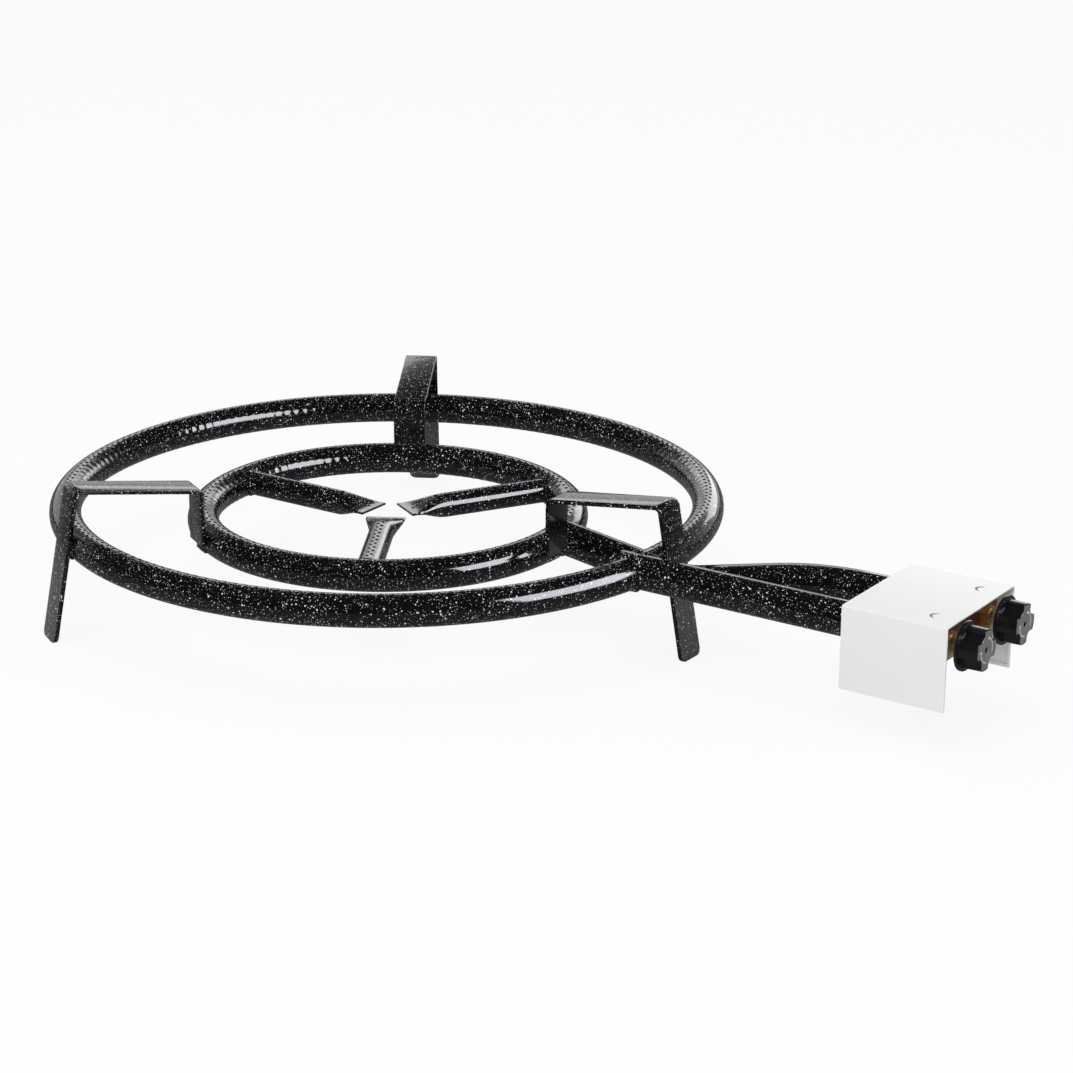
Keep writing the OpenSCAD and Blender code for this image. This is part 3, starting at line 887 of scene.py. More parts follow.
@dataclass
class PerforatedRing:
    """Ring of round tube with two staggered rows of ports on top, and bending wrinkles inside."""

    name: str
    radius: float
    level: float
    plain_at: float = 0.0
    plain_half: float = 0.0
    tube: float = RING_TUBE
    pitch: float = PORT_PITCH
    around: int = 50
    steps: int = 4
    wrinkle: float = 0.42

    def _sector(self, ported: bool) -> Form:
        """Builds one pitch of the ring.

        Args:
            ported: Whether it has a port in each row.

        Returns:
            Its form.
        """
        form = Form()
        angle = math.tau / self.count()
        start = (
            Matrix.Rotation(-angle / self.steps, 4, "Z")
            @ Matrix.Translation(self.radius * OUT)
            @ Matrix.Rotation(QUARTER, 4, "X")
        )
        form.wind(self.tube, self.around, start, ORIGIN, UP, angle, self.steps)
        for vert in form.bm.verts:
            turn = math.atan2(vert.co.y, vert.co.x)
            out = vert.co - self.radius * Vector((math.cos(turn), math.sin(turn), 0))
            inner = max(0.0, self.radius - vert.co.xy.length) / self.tube
            wave = (1 + math.cos(math.tau * turn / angle)) / 2
            vert.co -= out / self.tube * self.wrinkle * inner * wave
        if ported:
            lean = math.tau / self.around
            for side, share in ((-1, 0.0), (1, 0.5)):
                reach = self.radius + side * self.tube * math.sin(lean)
                x, y = reach * math.cos(angle * share), reach * math.sin(angle * share)
                Port().sink(form, Vector((x, y, self.tube * math.cos(lean))), self._top)
        return form

    def _top(self, x: float, y: float) -> float:
        """Gives the height of the tube's top above its middle."""
        return math.sqrt(self.tube**2 - (math.hypot(x, y) - self.radius) ** 2)

    def count(self) -> int:
        """Gives the number of ports in a row."""
        return math.floor(math.tau * self.radius / self.pitch)

    def build(self) -> bpy.types.Object:
        """Repeats the sectors round the ring.

        Returns:
            The ring's piece.
        """
        count = self.count()
        step = 360.0 / count

        def plain(i: int) -> bool:
            """Tells whether a port of a sector would lie at the joint."""
            offs = (step * (i + share) - self.plain_at for share in (0.0, 0.5))
            return any(abs((off + 180) % 360 - 180) <= self.plain_half for off in offs)

        form = Form()
        for ported in (True, False):
            places = [i for i in range(count) if plain(i) is not ported]
            if not places:
                continue
            sector = self._sector(ported)
            mesh = bpy.data.meshes.new("sector")
            sector.bm.to_mesh(mesh)
            sector.bm.free()
            for i in places:
                turn = Matrix.Rotation(math.radians(step * i), 4, "Z")
                known = len(form.bm.verts)
                form.bm.from_mesh(mesh)
                form.bm.verts.ensure_lookup_table()
                bmesh.ops.transform(form.bm, matrix=turn, verts=form.bm.verts[known:])
            bpy.data.meshes.remove(mesh)
        bmesh.ops.translate(form.bm, vec=self.level * UP, verts=form.bm.verts)
        return form.finish(self.name, ENAMEL, replaces=[self.name], edge_finish=PORT_LIP_HIGHLIGHT)


@dataclass
class Spoke:
    """Perforated tube from the inner ring towards the axis, pinched flat at its tip."""

    name: str
    angle: float
    level: float = INNER_LEVEL
    root: float = 158.0
    radius: float = SPOKE_TUBE
    tip: float = 16.0
    tip_edge: float = 0.4
    tip_length: float = 3.0
    pinch: float = 40.0
    squeeze: float = 36.0
    blade_thick: float = 2.2
    blade_lift: float = 1.1
    spread: float = 0.1
    pitch: float = PORT_PITCH
    steps: int = 4
    first_port: float = 5.2
    segments: int = 40

    def _share(self, x: float) -> float:
        """Gives how far the pinch has come, from 0 at its start to 1 at the tip."""
        return min(1.0, max(0.0, (self.tip + self.pinch - x) / self.pinch))

    def _flat(self, x: float) -> float:
        """Gives how flat the tube is, from 0 where it is round to 1."""
        return ease(self._share(x) * self.pinch / self.squeeze)

    def _high(self, x: float) -> float:
        """Gives half the tube's height."""
        return self.radius + (self.blade_thick / 2 - self.radius) * self._flat(x)

    def _straight(self, x: float) -> float:
        """Gives half the width that the flattened tube has between its round sides."""
        return QUARTER * (self.radius - self._high(x))

    def _middle(self, x: float) -> Vector:
        """Gives the middle of the tube."""
        return Vector((x, 0, self.level + self.blade_lift * self._flat(x)))

    def _section(self, x: float, shrink: float = 0.0) -> Section:
        """Gives the section of a round tube that is pressed flat with its girth kept.

        Args:
            x: The distance from the burner's axis.
            shrink: How much smaller the section is all round.

        Returns:
            The section.
        """
        high, straight, middle = self._high(x), self._straight(x), self._middle(x)
        widen = 1 + self.spread * self._share(x) ** 3 - shrink / (straight + high)

        def point(turn: float) -> Vector:
            """Places a point as far along the girth as on the round tube.

            Args:
                turn: Its turn on the round tube.

            Returns:
                The point.
            """
            lean = (turn + QUARTER) % math.tau - math.pi
            travel = self.radius * abs(lean)
            bend = min(math.pi, max(0.0, travel - straight) / high)
            under = max(0.0, travel - straight - math.pi * high)
            y = min(travel, straight) + high * math.sin(bend) - under
            z = (high - shrink) * math.cos(bend)
            return middle + Vector((0, -math.copysign(y * widen, lean), z))

        return point

    def _top(self, x: float, y: float) -> float:
        """Gives the height of the tube's top.

        Args:
            x: The distance from the burner's axis.
            y: The distance from the tube's middle plane.

        Returns:
            The height there.
        """
        high = self._high(x)
        off = max(0.0, abs(y) - self._straight(x))
        return self._middle(x).z + math.sqrt(high**2 - min(off, high) ** 2)

    def build(self) -> bpy.types.Object:
        """Draws the tube from its tip to its root and sinks its ports.

        Returns:
            The spoke's piece.
        """
        form = Form()
        step = self.pitch / self.steps
        start = self.tip + self.first_port
        rows = math.floor((self.root - start) / step)
        places = [start + step * i for i in range(rows + 1)]
        sections = [self._section(self.tip, self.tip_edge)]
        for x in (self.tip + self.tip_edge, self.tip + self.tip_length, *places):
            sections.append(self._section(x))
        form.loft(sections, self.segments, start=0.0)
        lean = math.tau / self.segments
        for side, first in ((-1, 1), (1, 1 + self.steps // 2)):
            for x in places[first:rows - self.steps:self.steps]:
                spot = self._section(x)(QUARTER - side * lean)
                Port(depth=min(PORT_DEPTH, self._high(x))).sink(form, spot, self._top)
        form.turn_about_axis(self.angle)
        return form.finish(self.name, ENAMEL, replaces=[self.name], edge_finish=PORT_LIP_HIGHLIGHT)


@dataclass
class FeedPipes:
    """The two mixing tubes: a straight one, and one bent to pass under the outer ring."""

    radius: float = FEED_TUBE
    wall: float = 1.5
    edge: float = 0.4
    half_gap: float = TAP_SIDE
    mouth: float = 504.5
    lead: float = 8.0
    cap_end: float = 268.36
    crossing: float = 283.85
    crest: float = 400.0
    bend: float = 100.0
    bend_parts: int = 16
    rise: float = 13.0
    dip: float = 29.2
    ring_level: float = INNER_LEVEL
    ring_radius: float = INNER_RADIUS
    stand_off: float = 6.0
    segments: int = 64

    def _hollow(self, spine: Spine, name: str) -> bpy.types.Object:
        """Draws a hollow tube.

        Args:
            spine: Points of its middle line with their directions.
            name: The piece's name.

        Returns:
            The tube's piece.
        """
        bore, rounded = self.radius - self.wall, self.radius - self.edge

        def section(point: Vector, along: Vector, radius: float) -> Section:
            """Gives the round section at a point of the spine."""
            return hoop(point, ASIDE, along.cross(ASIDE).normalized(), radius)

        (start, first), (end, last) = spine[0], spine[-1]
        outside = [(start + first * self.edge, first), *spine[1:-1], (end - last * self.edge, last)]
        rows = [section(start, first, rounded)]
        rows += [section(point, along, self.radius) for point, along in outside]
        rows.append(section(end, last, rounded))
        rows += [section(point, along, bore) for point, along in reversed(spine)]
        form = Form()
        form.loft(rows, self.segments, Ends.JOINED)
        return form.finish(name, ENAMEL, replaces=[name])

    def build_outer(self) -> bpy.types.Object:
        """Draws the straight tube.

        Returns:
            The outer feed pipe's piece.
        """
        places = (self.mouth, self.mouth - self.lead, self.cap_end + self.lead, self.cap_end)
        spine = [(Vector((x, -self.half_gap, 0)), -OUT) for x in places]
        return self._hollow(spine, "outer_feed_pipe")

    def build_inner(self) -> bpy.types.Object:
        """Draws the bent tube: level, down, and up again to the inner ring.

        Returns:
            The inner feed pipe's piece.
        """
        rise = math.radians(self.rise)
        bends = self.crest + self.bend
        slope = (self.dip - bends * (1 - math.cos(rise))) / math.sin(rise)
        run = bends * math.sin(rise) + slope * math.cos(rise)
        joint = math.sqrt((self.ring_radius + self.stand_off) ** 2 - self.half_gap**2)
        fall, lift = self.crossing - joint, self.dip + self.ring_level
        tangent = self.bend * math.tan(math.atan(lift / fall) / 2)
        climb = math.atan(lift / (fall - tangent))
        last = (fall - tangent) / math.cos(climb) - self.bend * math.tan(climb / 2)
        x, z, lean = self.mouth, 0.0, 0.0
        spine: Spine = []

        def note() -> None:
            """Keeps the present place and direction."""
            spine.append((Vector((x, self.half_gap, z)), heading(math.pi - lean)))

        note()
        for length, radius, swing in (
            (self.mouth - self.crossing - run, self.crest, -rise),
            (slope, self.bend, rise + climb),
            (last, 0.0, 0.0),
        ):
            x, z = x - length * math.cos(lean), z + length * math.sin(lean)
            note()
            part = swing / self.bend_parts
            for _ in range(self.bend_parts if radius else 0):
                chord = 2 * radius * math.sin(abs(part) / 2)
                lean += part / 2
                x, z = x - chord * math.cos(lean), z + chord * math.sin(lean)
                lean += part / 2
                note()
        return self._hollow(spine, "inner_feed_pipe")


@dataclass
class Leg:
    """Flat bar bent to a drop at the inner ring, a rising pan rest and an outer foot."""

    name: str
    angle: float
    width: float = 30.0
    thick: float = 4.0
    bend: float = 5.0
    bend_parts: int = 10
    splay: float = LEG_SPLAY
    drop_at: float = 180.6
    drop_end: float = -14.5
    rest_inner: float = 36.0
    rest_outer: float = 51.0
    rest_at: float = 292.41
    ground: float = -82.0
    foot_flat: float = 19.0
    foot_parts: int = 8
    edge: float = 0.9
    end_edge: float = 0.72
    segments: int = 24

    def _spine(self) -> list[tuple[Vector, float]]:
        """Follows the bar's middle line from the drop to the ground.

        Returns:
            Points of the line with their headings.
        """
        splay = math.radians(self.splay)
        foot_at = self.rest_at + (self.rest_outer - self.ground) * math.tan(splay)
        corners = [
            Vector((self.drop_at, 0, self.drop_end)),
            Vector((self.drop_at, 0, self.rest_inner)),
            Vector((self.rest_at, 0, self.rest_outer)),
            Vector((foot_at, 0, self.ground)),
        ]
        tilt = math.atan2(self.rest_outer - self.rest_inner, self.rest_at - self.drop_at)
        ways = [QUARTER, tilt, splay - QUARTER]
        spine = [(corners[0], ways[0])]
        for corner, before, after in zip(corners[1:], ways, ways[1:]):
            swing = after - before
            start = corner - heading(before) * (self.bend * math.tan(abs(swing) / 2))
            middle = start + heading(before - QUARTER) * self.bend
            for k in range(self.bend_parts + 1):
                way = before + swing * k / self.bend_parts
                spine.append((middle + heading(way + QUARTER) * self.bend, way))
        spine.append((corners[-1], ways[-1]))
        return spine

    def build(self) -> bpy.types.Object:
        """Draws the bar along its spine, rounds its foot and marks its two edges, which keep the
        plain enamel while the broad faces take the painted sheen.

        Returns:
            The leg's piece.
        """
        spine = self._spine()
        (start, _), (foot, last) = spine[0], spine[-1]
        along, slant = heading(last), math.cos(math.radians(self.splay))
        corner = (self.width - self.foot_flat) / 2
        sections = []
        for lift, shrink in ((0.0, self.edge), (self.edge, 0.0)):
            width, thick = self.width - 2 * shrink, self.thick - 1.2 * shrink
            sections.append(flat_bar(start + lift * UP, ASIDE, -OUT, width, thick, self.end_edge))
        for point, way in spine[1:-1] + [(foot - along * 3 * corner, last)]:
            over = heading(way + QUARTER)
            sections.append(flat_bar(point, ASIDE, over, self.width, self.thick, self.edge))
        for k in range(self.foot_parts + 1):
            turn = QUARTER * k / self.foot_parts
            point = foot - along * (corner * (1 - math.sin(turn)) / slant)
            width = self.foot_flat + 2 * corner * math.cos(turn)
            sections.append(flat_bar(point, ASIDE, OUT / slant, width, self.thick, self.end_edge))
        form = Form()
        form.loft(sections, self.segments)
        bmesh.ops.recalc_face_normals(form.bm, faces=form.bm.faces)
        # The broad faces take the leg enamel with its painted sheen near the floor; the narrow
        # sides keep the plain enamel.
        for face in form.bm.faces:
            face.material_index = int(abs(face.normal.y) > 0.5)
        form.turn_about_axis(self.angle)
        return form.finish(self.name, BAR_ENAMEL, replaces=[self.name], edge_finish=ENAMEL)


@dataclass
class Welds:
    """Beads where tubes and bars meet."""

    ring: float = OUTER_RADIUS
    inner: float = INNER_RADIUS
    inner_level: float = INNER_LEVEL
    tube: float = RING_TUBE
    feed: float = FEED_TUBE
    half_gap: float = TAP_SIDE
    half_height: float = 12.6
    spoke: float = SPOKE_TUBE
    leg_half: float = 13.0
    leg_lean: float = LEG_SPLAY
    leg_turn: float = 30.0
    proud: float = 0.4
    points: int = 96
    leg_points: int = 28

    def _turns(self) -> list[float]:
        """Gives the turns of a closed bead."""
        return [math.tau * i / self.points for i in range(self.points)]

    def feed_joint(self) -> bpy.types.Object:
        """Lays the two beads between the outer ring and its feed pipe.

        Returns:
            The beads' piece.
        """
        form = Form()
        for side in (-1, 1):
            line = []
            for turn in self._turns():
                z = self.tube * math.sin(turn)
                y = -self.half_gap + side * math.sqrt(self.feed**2 - z**2)
                line.append(at_reach(self.ring + self.tube * math.cos(turn), y, z))
            Bead(radius=2.5, ripple=0.2, run=3.4).lay(form, line)
        return form.finish("feed_joint_weld", ENAMEL)

    def inner_joint(self) -> bpy.types.Object:
        """Lays the bead between the inner feed pipe and the inner ring.

        Returns:
            The bead's piece.
        """
        form = Form()
        line = []
        for turn in self._turns():
            y = self.half_gap + self.feed * math.cos(turn)
            z = max(-self.half_height, min(self.half_height, self.feed * math.sin(turn)))
            reach = self.inner + math.sqrt(self.tube**2 - z**2)
            line.append(at_reach(reach, y, z + self.inner_level))
        Bead(radius=1.9, ripple=0.16, run=3.0).lay(form, line)
        return form.finish("inner_joint_weld", ENAMEL)

    def spoke_joint(self, name: str, angle: float) -> bpy.types.Object:
        """Lays the bead between a spoke and the inner ring.

        Args:
            name: The piece's name.
            angle: The spoke's angle about the axis.

        Returns:
            The bead's piece.
        """
        form = Form()
        line = []
        for turn in self._turns():
            y, z = self.spoke * math.cos(turn), self.spoke * math.sin(turn)
            reach = self.inner - math.sqrt(self.tube**2 - z**2)
            line.append(at_reach(reach, y, z + self.inner_level))
        Bead(radius=1.6, ripple=0.15, run=2.6).lay(form, line)
        form.turn_about_axis(angle)
        return form.finish(name, ENAMEL)

    def leg_joint(self, name: str, angle: float) -> bpy.types.Object:
        """Lays the four short beads between a leg and the two rings.

        Args:
            name: The piece's name.
            angle: The leg's angle about the axis.

        Returns:
            The beads' piece.
        """
        form = Form()
        last = self.leg_points - 1
        ys = [self.leg_half * (2 * i / last - 1) for i in range(self.leg_points)]
        out = self.tube + self.proud
        for radius, level, lean in (
            (self.ring, 0.0, self.leg_lean), (self.inner, self.inner_level, 0.0)
        ):
            for side in (-1, 1):
                tilt = math.radians(side * self.leg_turn - lean * 0.5)
                reach, z = radius + out * math.cos(tilt), level + out * math.sin(tilt)
                line = [at_reach(reach, y, z) for y in ys]
                Bead(radius=1.5, ripple=0.18, run=2.6).lay(form, line, closed=False)
        form.turn_about_axis(angle)
        return form.finish(name, BAR_ENAMEL)


@dataclass
class ControlCover:
    """Inverted-U sheet cover with hemmed edges and two crescents of painted shade on its top."""

    rear: float = 491.0
    front: float = 584.0
    half_width: float = 60.0
    top: float = 21.0
    bottom: float = -50.0
    sheet: float = 1.0
    bend: float = 2.0
    hem: float = 3.0
    hem_edge: float = 0.35
    hem_inset: float = 0.3
    hem_gap: float = 0.2
    hem_back: float = 0.1
    pipe_hole: float = 10.0
    pipe_x: float = 537.5
    pipe_z: float = -25.0
    hole_cuts: int = 7
    mark_spots: tuple[tuple[float, float], ...] = ((564.6, -39.0), (566.6, 37.2))
    mark_radius: float = 5.2
    mark_start: float = 95.0
    mark_swing: float = 170.0
    mark_thin: float = 0.3
    mark_swell: float = 1.9
    mark_thick: float = 0.2
    mark_edge: float = 0.05
    mark_lift: float = 0.03
    mark_parts: int = 18
    mark_segments: int = 8

    def build(self) -> bpy.types.Object:
        """Folds the sheet, opens the gas pipe's hole and adds the hems.

        Returns:
            The cover's piece.
        """
        form = Form()
        bm = form.bm
        outline = [(-1, self.bottom), (-1, self.top), (1, self.top), (1, self.bottom)]
        row = [bm.verts.new((self.rear, side * self.half_width, z)) for side, z in outline]
        edges = [bm.edges.new(pair) for pair in zip(row, row[1:])]
        grown = bmesh.ops.extrude_edge_only(bm, edges=edges)["geom"]
        fresh = [item for item in grown if isinstance(item, bmesh.types.BMVert)]
        bmesh.ops.translate(bm, vec=(self.front - self.rear) * OUT, verts=fresh)
        bmesh.ops.recalc_face_normals(bm, faces=bm.faces)
        form.bevel([edge for edge in bm.edges if len(edge.link_faces) == 2], self.bend, 5)
        self._open(form)
        bmesh.ops.recalc_face_normals(bm, faces=bm.faces)
        roof = max(bm.faces, key=lambda face: face.calc_center_median().z)
        if roof.normal.z < 0:
            bmesh.ops.reverse_faces(bm, faces=bm.faces)
        bmesh.ops.solidify(bm, geom=bm.faces[:], thickness=self.sheet)
        front, over_hem = self.front - self.hem_back, self.bottom + self.hem
        for side in (-1, 1):
            inner, outer = sorted(
                side * (self.half_width - inset) for inset in (2 * self.sheet, self.hem_inset)
            )
            for low, high in (
                ((self.rear + self.hem_gap, inner, self.bottom), (front, outer, over_hem)),
                (
                    (self.front - self.hem, inner, over_hem + self.hem_gap),
                    (front, outer, self.top - 2 * self.hem),
                ),
            ):
                form.box(low, high, self.hem_edge)
        return form.finish("control_cover", WHITE_PAINT, replaces=["control_cover"])

    def _open(self, form: Form) -> None:
        """Cuts the round hole of the gas pipe in the far side.

        Args:
            form: The folded sheet.
        """
        bm = form.bm
        reach = self.pipe_hole + 2
        middle = Vector((self.pipe_x, self.half_width, self.pipe_z))

        def off(face: bmesh.types.BMFace) -> float:
            """Gives a face's distance from the hole's middle."""
            return (face.calc_center_median() - middle).length

        wall = [face for face in bm.faces if face.calc_center_median().y > self.half_width - 0.01]
        for normal in (OUT, UP):
            for side in (-1, 1):
                near = (item for face in wall for item in (face, *face.edges, *face.verts))
                cut = bmesh.ops.bisect_plane(
                    bm, geom=list(dict.fromkeys(near)), dist=1e-4,
                    plane_co=middle + side * reach * normal, plane_no=normal,
                )
                wall = [item for item in cut["geom"] if isinstance(item, bmesh.types.BMFace)]
        patch = min(wall, key=off)
        bmesh.ops.subdivide_edges(bm, edges=list(patch.edges), cuts=self.hole_cuts)
        corners = 4 * (self.hole_cuts + 1)
        patch = min((face for face in bm.faces if len(face.verts) >= corners), key=off)
        rim = bmesh.ops.extrude_discrete_faces(bm, faces=[patch])["faces"][0]
        for vert in rim.verts:
            vert.co = middle + (vert.co - middle).normalized() * self.pipe_hole
        bmesh.ops.delete(bm, geom=[rim], context="FACES_ONLY")

    def marks(self) -> bpy.types.Object:
        """Lays a dark grey crescent above each tap, as painted shade of a pressed lance.

        Returns:
            The marks' piece.
        """
        form = Form()
        # Each crescent is a thin dark grey sheet of painted shade, for the shaded side of a pressed
        # lance.
        for x, y in self.mark_spots:
            sections = []
            for k in range(self.mark_parts + 1):
                share = k / self.mark_parts
                turn = math.radians(self.mark_start + self.mark_swing * share)
                out = Vector((math.cos(turn), math.sin(turn), 0))
                width = self.mark_thin + self.mark_swell * math.sin(math.pi * share)
                point = Vector((x, y, self.top + self.mark_lift)) + out * self.mark_radius
                bar = flat_bar(point, out, UP, width, self.mark_thick, self.mark_edge)
                sections.append(bar)
            form.loft(sections, self.mark_segments)
        return form.finish("tap_lance_painted_shades", COVER_LANCE_SHADE)


@dataclass
class Knob:
    """Push-and-turn knob with a thin skirt, a scalloped grip, a textured face and a dial.

    The face's grey is a painted sheen of the lamps on its grained plastic.
    """

    name: str
    body: str
    y: float
    back: float = 587.5
    length: float = 19.0
    skirt: float = 20.5
    skirt_thick: float = 2.5
    grip: float = 17.5
    scallop: float = 7.0
    scallop_depth: float = 5.2
    lobes: int = 4
    phase: float = -9.0
    soft: float = 1.1
    rim: float = 0.9
    rim_parts: int = 5
    hole: float = 2.4
    hole_depth: float = 2.5
    dial_radius: float = 9.9
    dial_arcs: tuple[tuple[float, float], ...] = ((72.0, -95.0), (176.0, 92.0))
    dial_width: float = 0.75
    dial_thick: float = 0.14
    dial_edge: float = 0.03
    dial_lift: float = 0.02
    dial_parts: int = 22
    dial_segments: int = 8
    dot_segments: int = 16
    segments: int = 144

    def _lobed(self, turn: float) -> float:
        """Gives the grip's radius, with softened lobe corners.

        Args:
            turn: The turn about the knob's axis.

        Returns:
            The radius there.
        """
        pitch = 360.0 / self.lobes
        off = math.radians((math.degrees(turn) - self.phase) % pitch - pitch / 2)
        reach = self.grip + self.scallop - self.scallop_depth
        drop = self.scallop**2 - (reach * math.sin(off)) ** 2
        if drop <= 0:
            return self.grip
        hollow = reach * math.cos(off) - math.sqrt(drop)
        share = min(1.0, max(0.0, 0.5 + (hollow - self.grip) / (2 * self.soft)))
        return hollow + (self.grip - hollow) * share - self.soft * share * (1 - share)

    def _section(self, x: float, radius: Callable[[float], float]) -> Section:
        """Gives the section at a distance from the skirt's back."""
        middle = Vector((self.back + x, self.y, 0))
        return lambda turn: middle + radius(turn) * Vector((0, math.cos(turn), math.sin(turn)))

    def _round(self, x: float, radius: float) -> Section:
        """Gives a round section at a distance from the skirt's back."""
        return self._section(x, lambda turn: radius)

    def _grip(self, x: float, inset: float) -> Section:
        """Gives a lobed section at a distance from the skirt's back, that much inside the grip."""
        return self._section(x, lambda turn: self._lobed(turn) - inset)

    def build(self) -> bpy.types.Object:
        """Draws the skirt and the lobed grip up to the edge of its face.

        Returns:
            The knob's piece.
        """
        thick, length = self.skirt_thick, self.length
        disc = (
            (0.0, 3.0), (0.0, 0.5), (0.15, 0.12), (0.5, 0.0),
            (thick - 0.5, 0.0), (thick - 0.12, 0.15), (thick, 0.5),
        )
        sections = [self._round(x, self.skirt - inset) for x, inset in disc]
        foot = ((0.0, -0.7), (0.2, -0.25), (0.7, -0.03), (1.6, 0.0))
        sections += [self._grip(thick + x, inset) for x, inset in foot]
        for i in range(self.rim_parts + 1):
            turn = QUARTER * i / self.rim_parts
            lift, inset = (self.rim * (1 - part) for part in (math.sin(turn), math.cos(turn)))
            sections.append(self._grip(length - lift, 0.3 + inset))
        sections.append(self._grip(length - 0.05, self.rim + 0.55))
        sections.append(self._round(length - 0.3, self.hole + 1.4))
        sections.append(self._round(length - self.hole_depth - 0.6, self.hole + 1.2))
        form = Form()
        form.loft(sections, self.segments)
        return form.finish(self.name, PLASTIC, self.body, [self.name])

    def face(self) -> bpy.types.Object:
        """Draws the textured face with its hole, in a grey that is a painted sheen.

        Returns:
            The face's piece.
        """
        edge, hole = self.rim + 0.35, self.hole
        rows = [
            self._grip(self.length + x, inset)
            for x, inset in ((-0.3, edge), (0.0, edge), (0.0, edge + 0.5))
        ]
        rows += [
            self._round(self.length + x, radius) for x, radius in (
                (0.0, 6.0), (0.0, hole + 0.6), (-0.15, hole + 0.2), (-0.5, hole), (-1.0, hole),
                (-1.0, hole + 0.8),
            )
        ]
        form = Form()
        form.loft(rows, self.segments, Ends.JOINED)
        return form.finish(self.name + "_face", KNOB_FACE_SHEEN, self.body)

    def dial(self) -> bpy.types.Object:
        """Prints two arcs, each with a dot at its start.

        Returns:
            The dial's piece.
        """
        form = Form()
        middle = Vector((self.back + self.length + self.dial_lift, self.y, 0))
        for start, swing in self.dial_arcs:
            sections, spots = [], []
            for k in range(self.dial_parts + 1):
                turn = math.radians(start + swing * k / self.dial_parts)
                out = Vector((0, math.cos(turn), math.sin(turn)))
                spots.append(middle + out * self.dial_radius)
                sections.append(
                    flat_bar(
                        spots[-1], out, OUT, self.dial_width, self.dial_thick, self.dial_edge
                    )
                )
            form.loft(sections, self.dial_segments)
            rows = ((-0.1, 1.1), (0.05, 1.1), (0.09, 0.9))
            dot = [hoop(spots[0] + OUT * x, ASIDE, UP, radius) for x, radius in rows]
            form.loft(dot, self.dot_segments)
        return form.finish(self.name + "_dial", KNOB_MARK, self.body)


@dataclass
class TapSpring:
    """Wound spring that holds a spindle out."""

    side: str
    wire: float = 0.6
    turns: int = 4
    steps: int = 20
    segments: int = 8
    gap: float = 0.05
    travel: float = 3.0

    def build(self) -> bpy.types.Object:
        """Winds the wire between the plug and the spindle's shoulder.

        Returns:
            The spring's piece.
        """
        name = self.side + "_tap_spring"
        low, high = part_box(name)
        middle, size = ((low + high) / 2 - RING_CENTRE) / MM, (high - low) / MM
        inset = self.wire + self.gap
        first = middle + Vector((inset - size.x / 2, 0, size.z / 2 - inset))
        start = Matrix.Translation(first) @ Matrix.Rotation(QUARTER, 4, "X")
        count = self.turns * self.steps
        rise = (size.x - 2 * inset) / count * OUT
        form = Form()
        form.wind(
            self.wire, self.segments, start, middle, OUT, math.tau * self.turns, count, rise
        )
        rims = [edge for edge in form.bm.edges if edge.is_boundary]
        bmesh.ops.holes_fill(form.bm, edges=rims, sides=0)
        piece = form.finish(name, SPRING, self.side + "_plug", [name])
        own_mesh(piece)
        return piece


@dataclass
class Fittings:
    """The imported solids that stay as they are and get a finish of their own."""

    sides: tuple[str, str] = ("outer", "inner")

    def dress(self) -> None:
        """Gives every shown solid the finish of its metal, rubber or sheet."""
        plan: dict[Finish, tuple[str, ...]] = {
            ENAMEL: ("outer_feed_cap",),
            YELLOW_ZINC: ("valve_chassis",),
            ZINC: (
                "cover_studs", "cover_nuts", "gas_manifold", "manifold_plug", "saddle_screws",
                "*_tap_saddle", "*_tap_spindle",
            ),
            BRASS: (
                "inlet_nut", "hose_nozzle", "*_tap_body", "*_tap_plug", "*_tap_cap", "*_tap_nut",
                "*_injector",
            ),
            SPRING: ("*_knob_clip",),
            SEAL: ("inlet_seal", "*_tap_seal"),
        }
        for finish, names in plan.items():
            for pattern in names:
                for side in self.sides if "*" in pattern else ("",):
                    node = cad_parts[pattern.replace("*", side)]
                    node.data.materials.clear()
                    node.data.materials.append(finish.material())
                    LOG.info("%s: %s", node.name, finish.name)


@dataclass
class Lamp:
    """A soft lamp that looks at the burner. Its sizes are in metres."""

    name: str
    azimuth: float
    elevation: float
    distance: float
    size: tuple[float, float]
    radiance: float
    tint: tuple[float, float, float] = (1.0, 1.0, 1.0)
    on_paint: bool = True
    on_gloss: bool = True

    def hang(self) -> None:
        """Hangs the lamp, with its radiance as light per area and direction."""
        data = bpy.data.lights.new(self.name, "AREA")
        data.shape = "RECTANGLE"
        data.size, data.size_y = self.size
        data.color = self.tint
        data.energy = self.radiance * math.pi * self.size[0] * self.size[1]
        lamp = bpy.data.objects.new(self.name, data)
        bpy.context.scene.collection.objects.link(lamp)
        back = towards(self.azimuth, self.elevation)
        lamp.location = RING_CENTRE + back * self.distance
        lamp.rotation_euler = back.to_track_quat("Z", "Y").to_euler()
        lamp.visible_camera = False
        lamp.visible_diffuse = self.on_paint
        lamp.visible_glossy = self.on_gloss


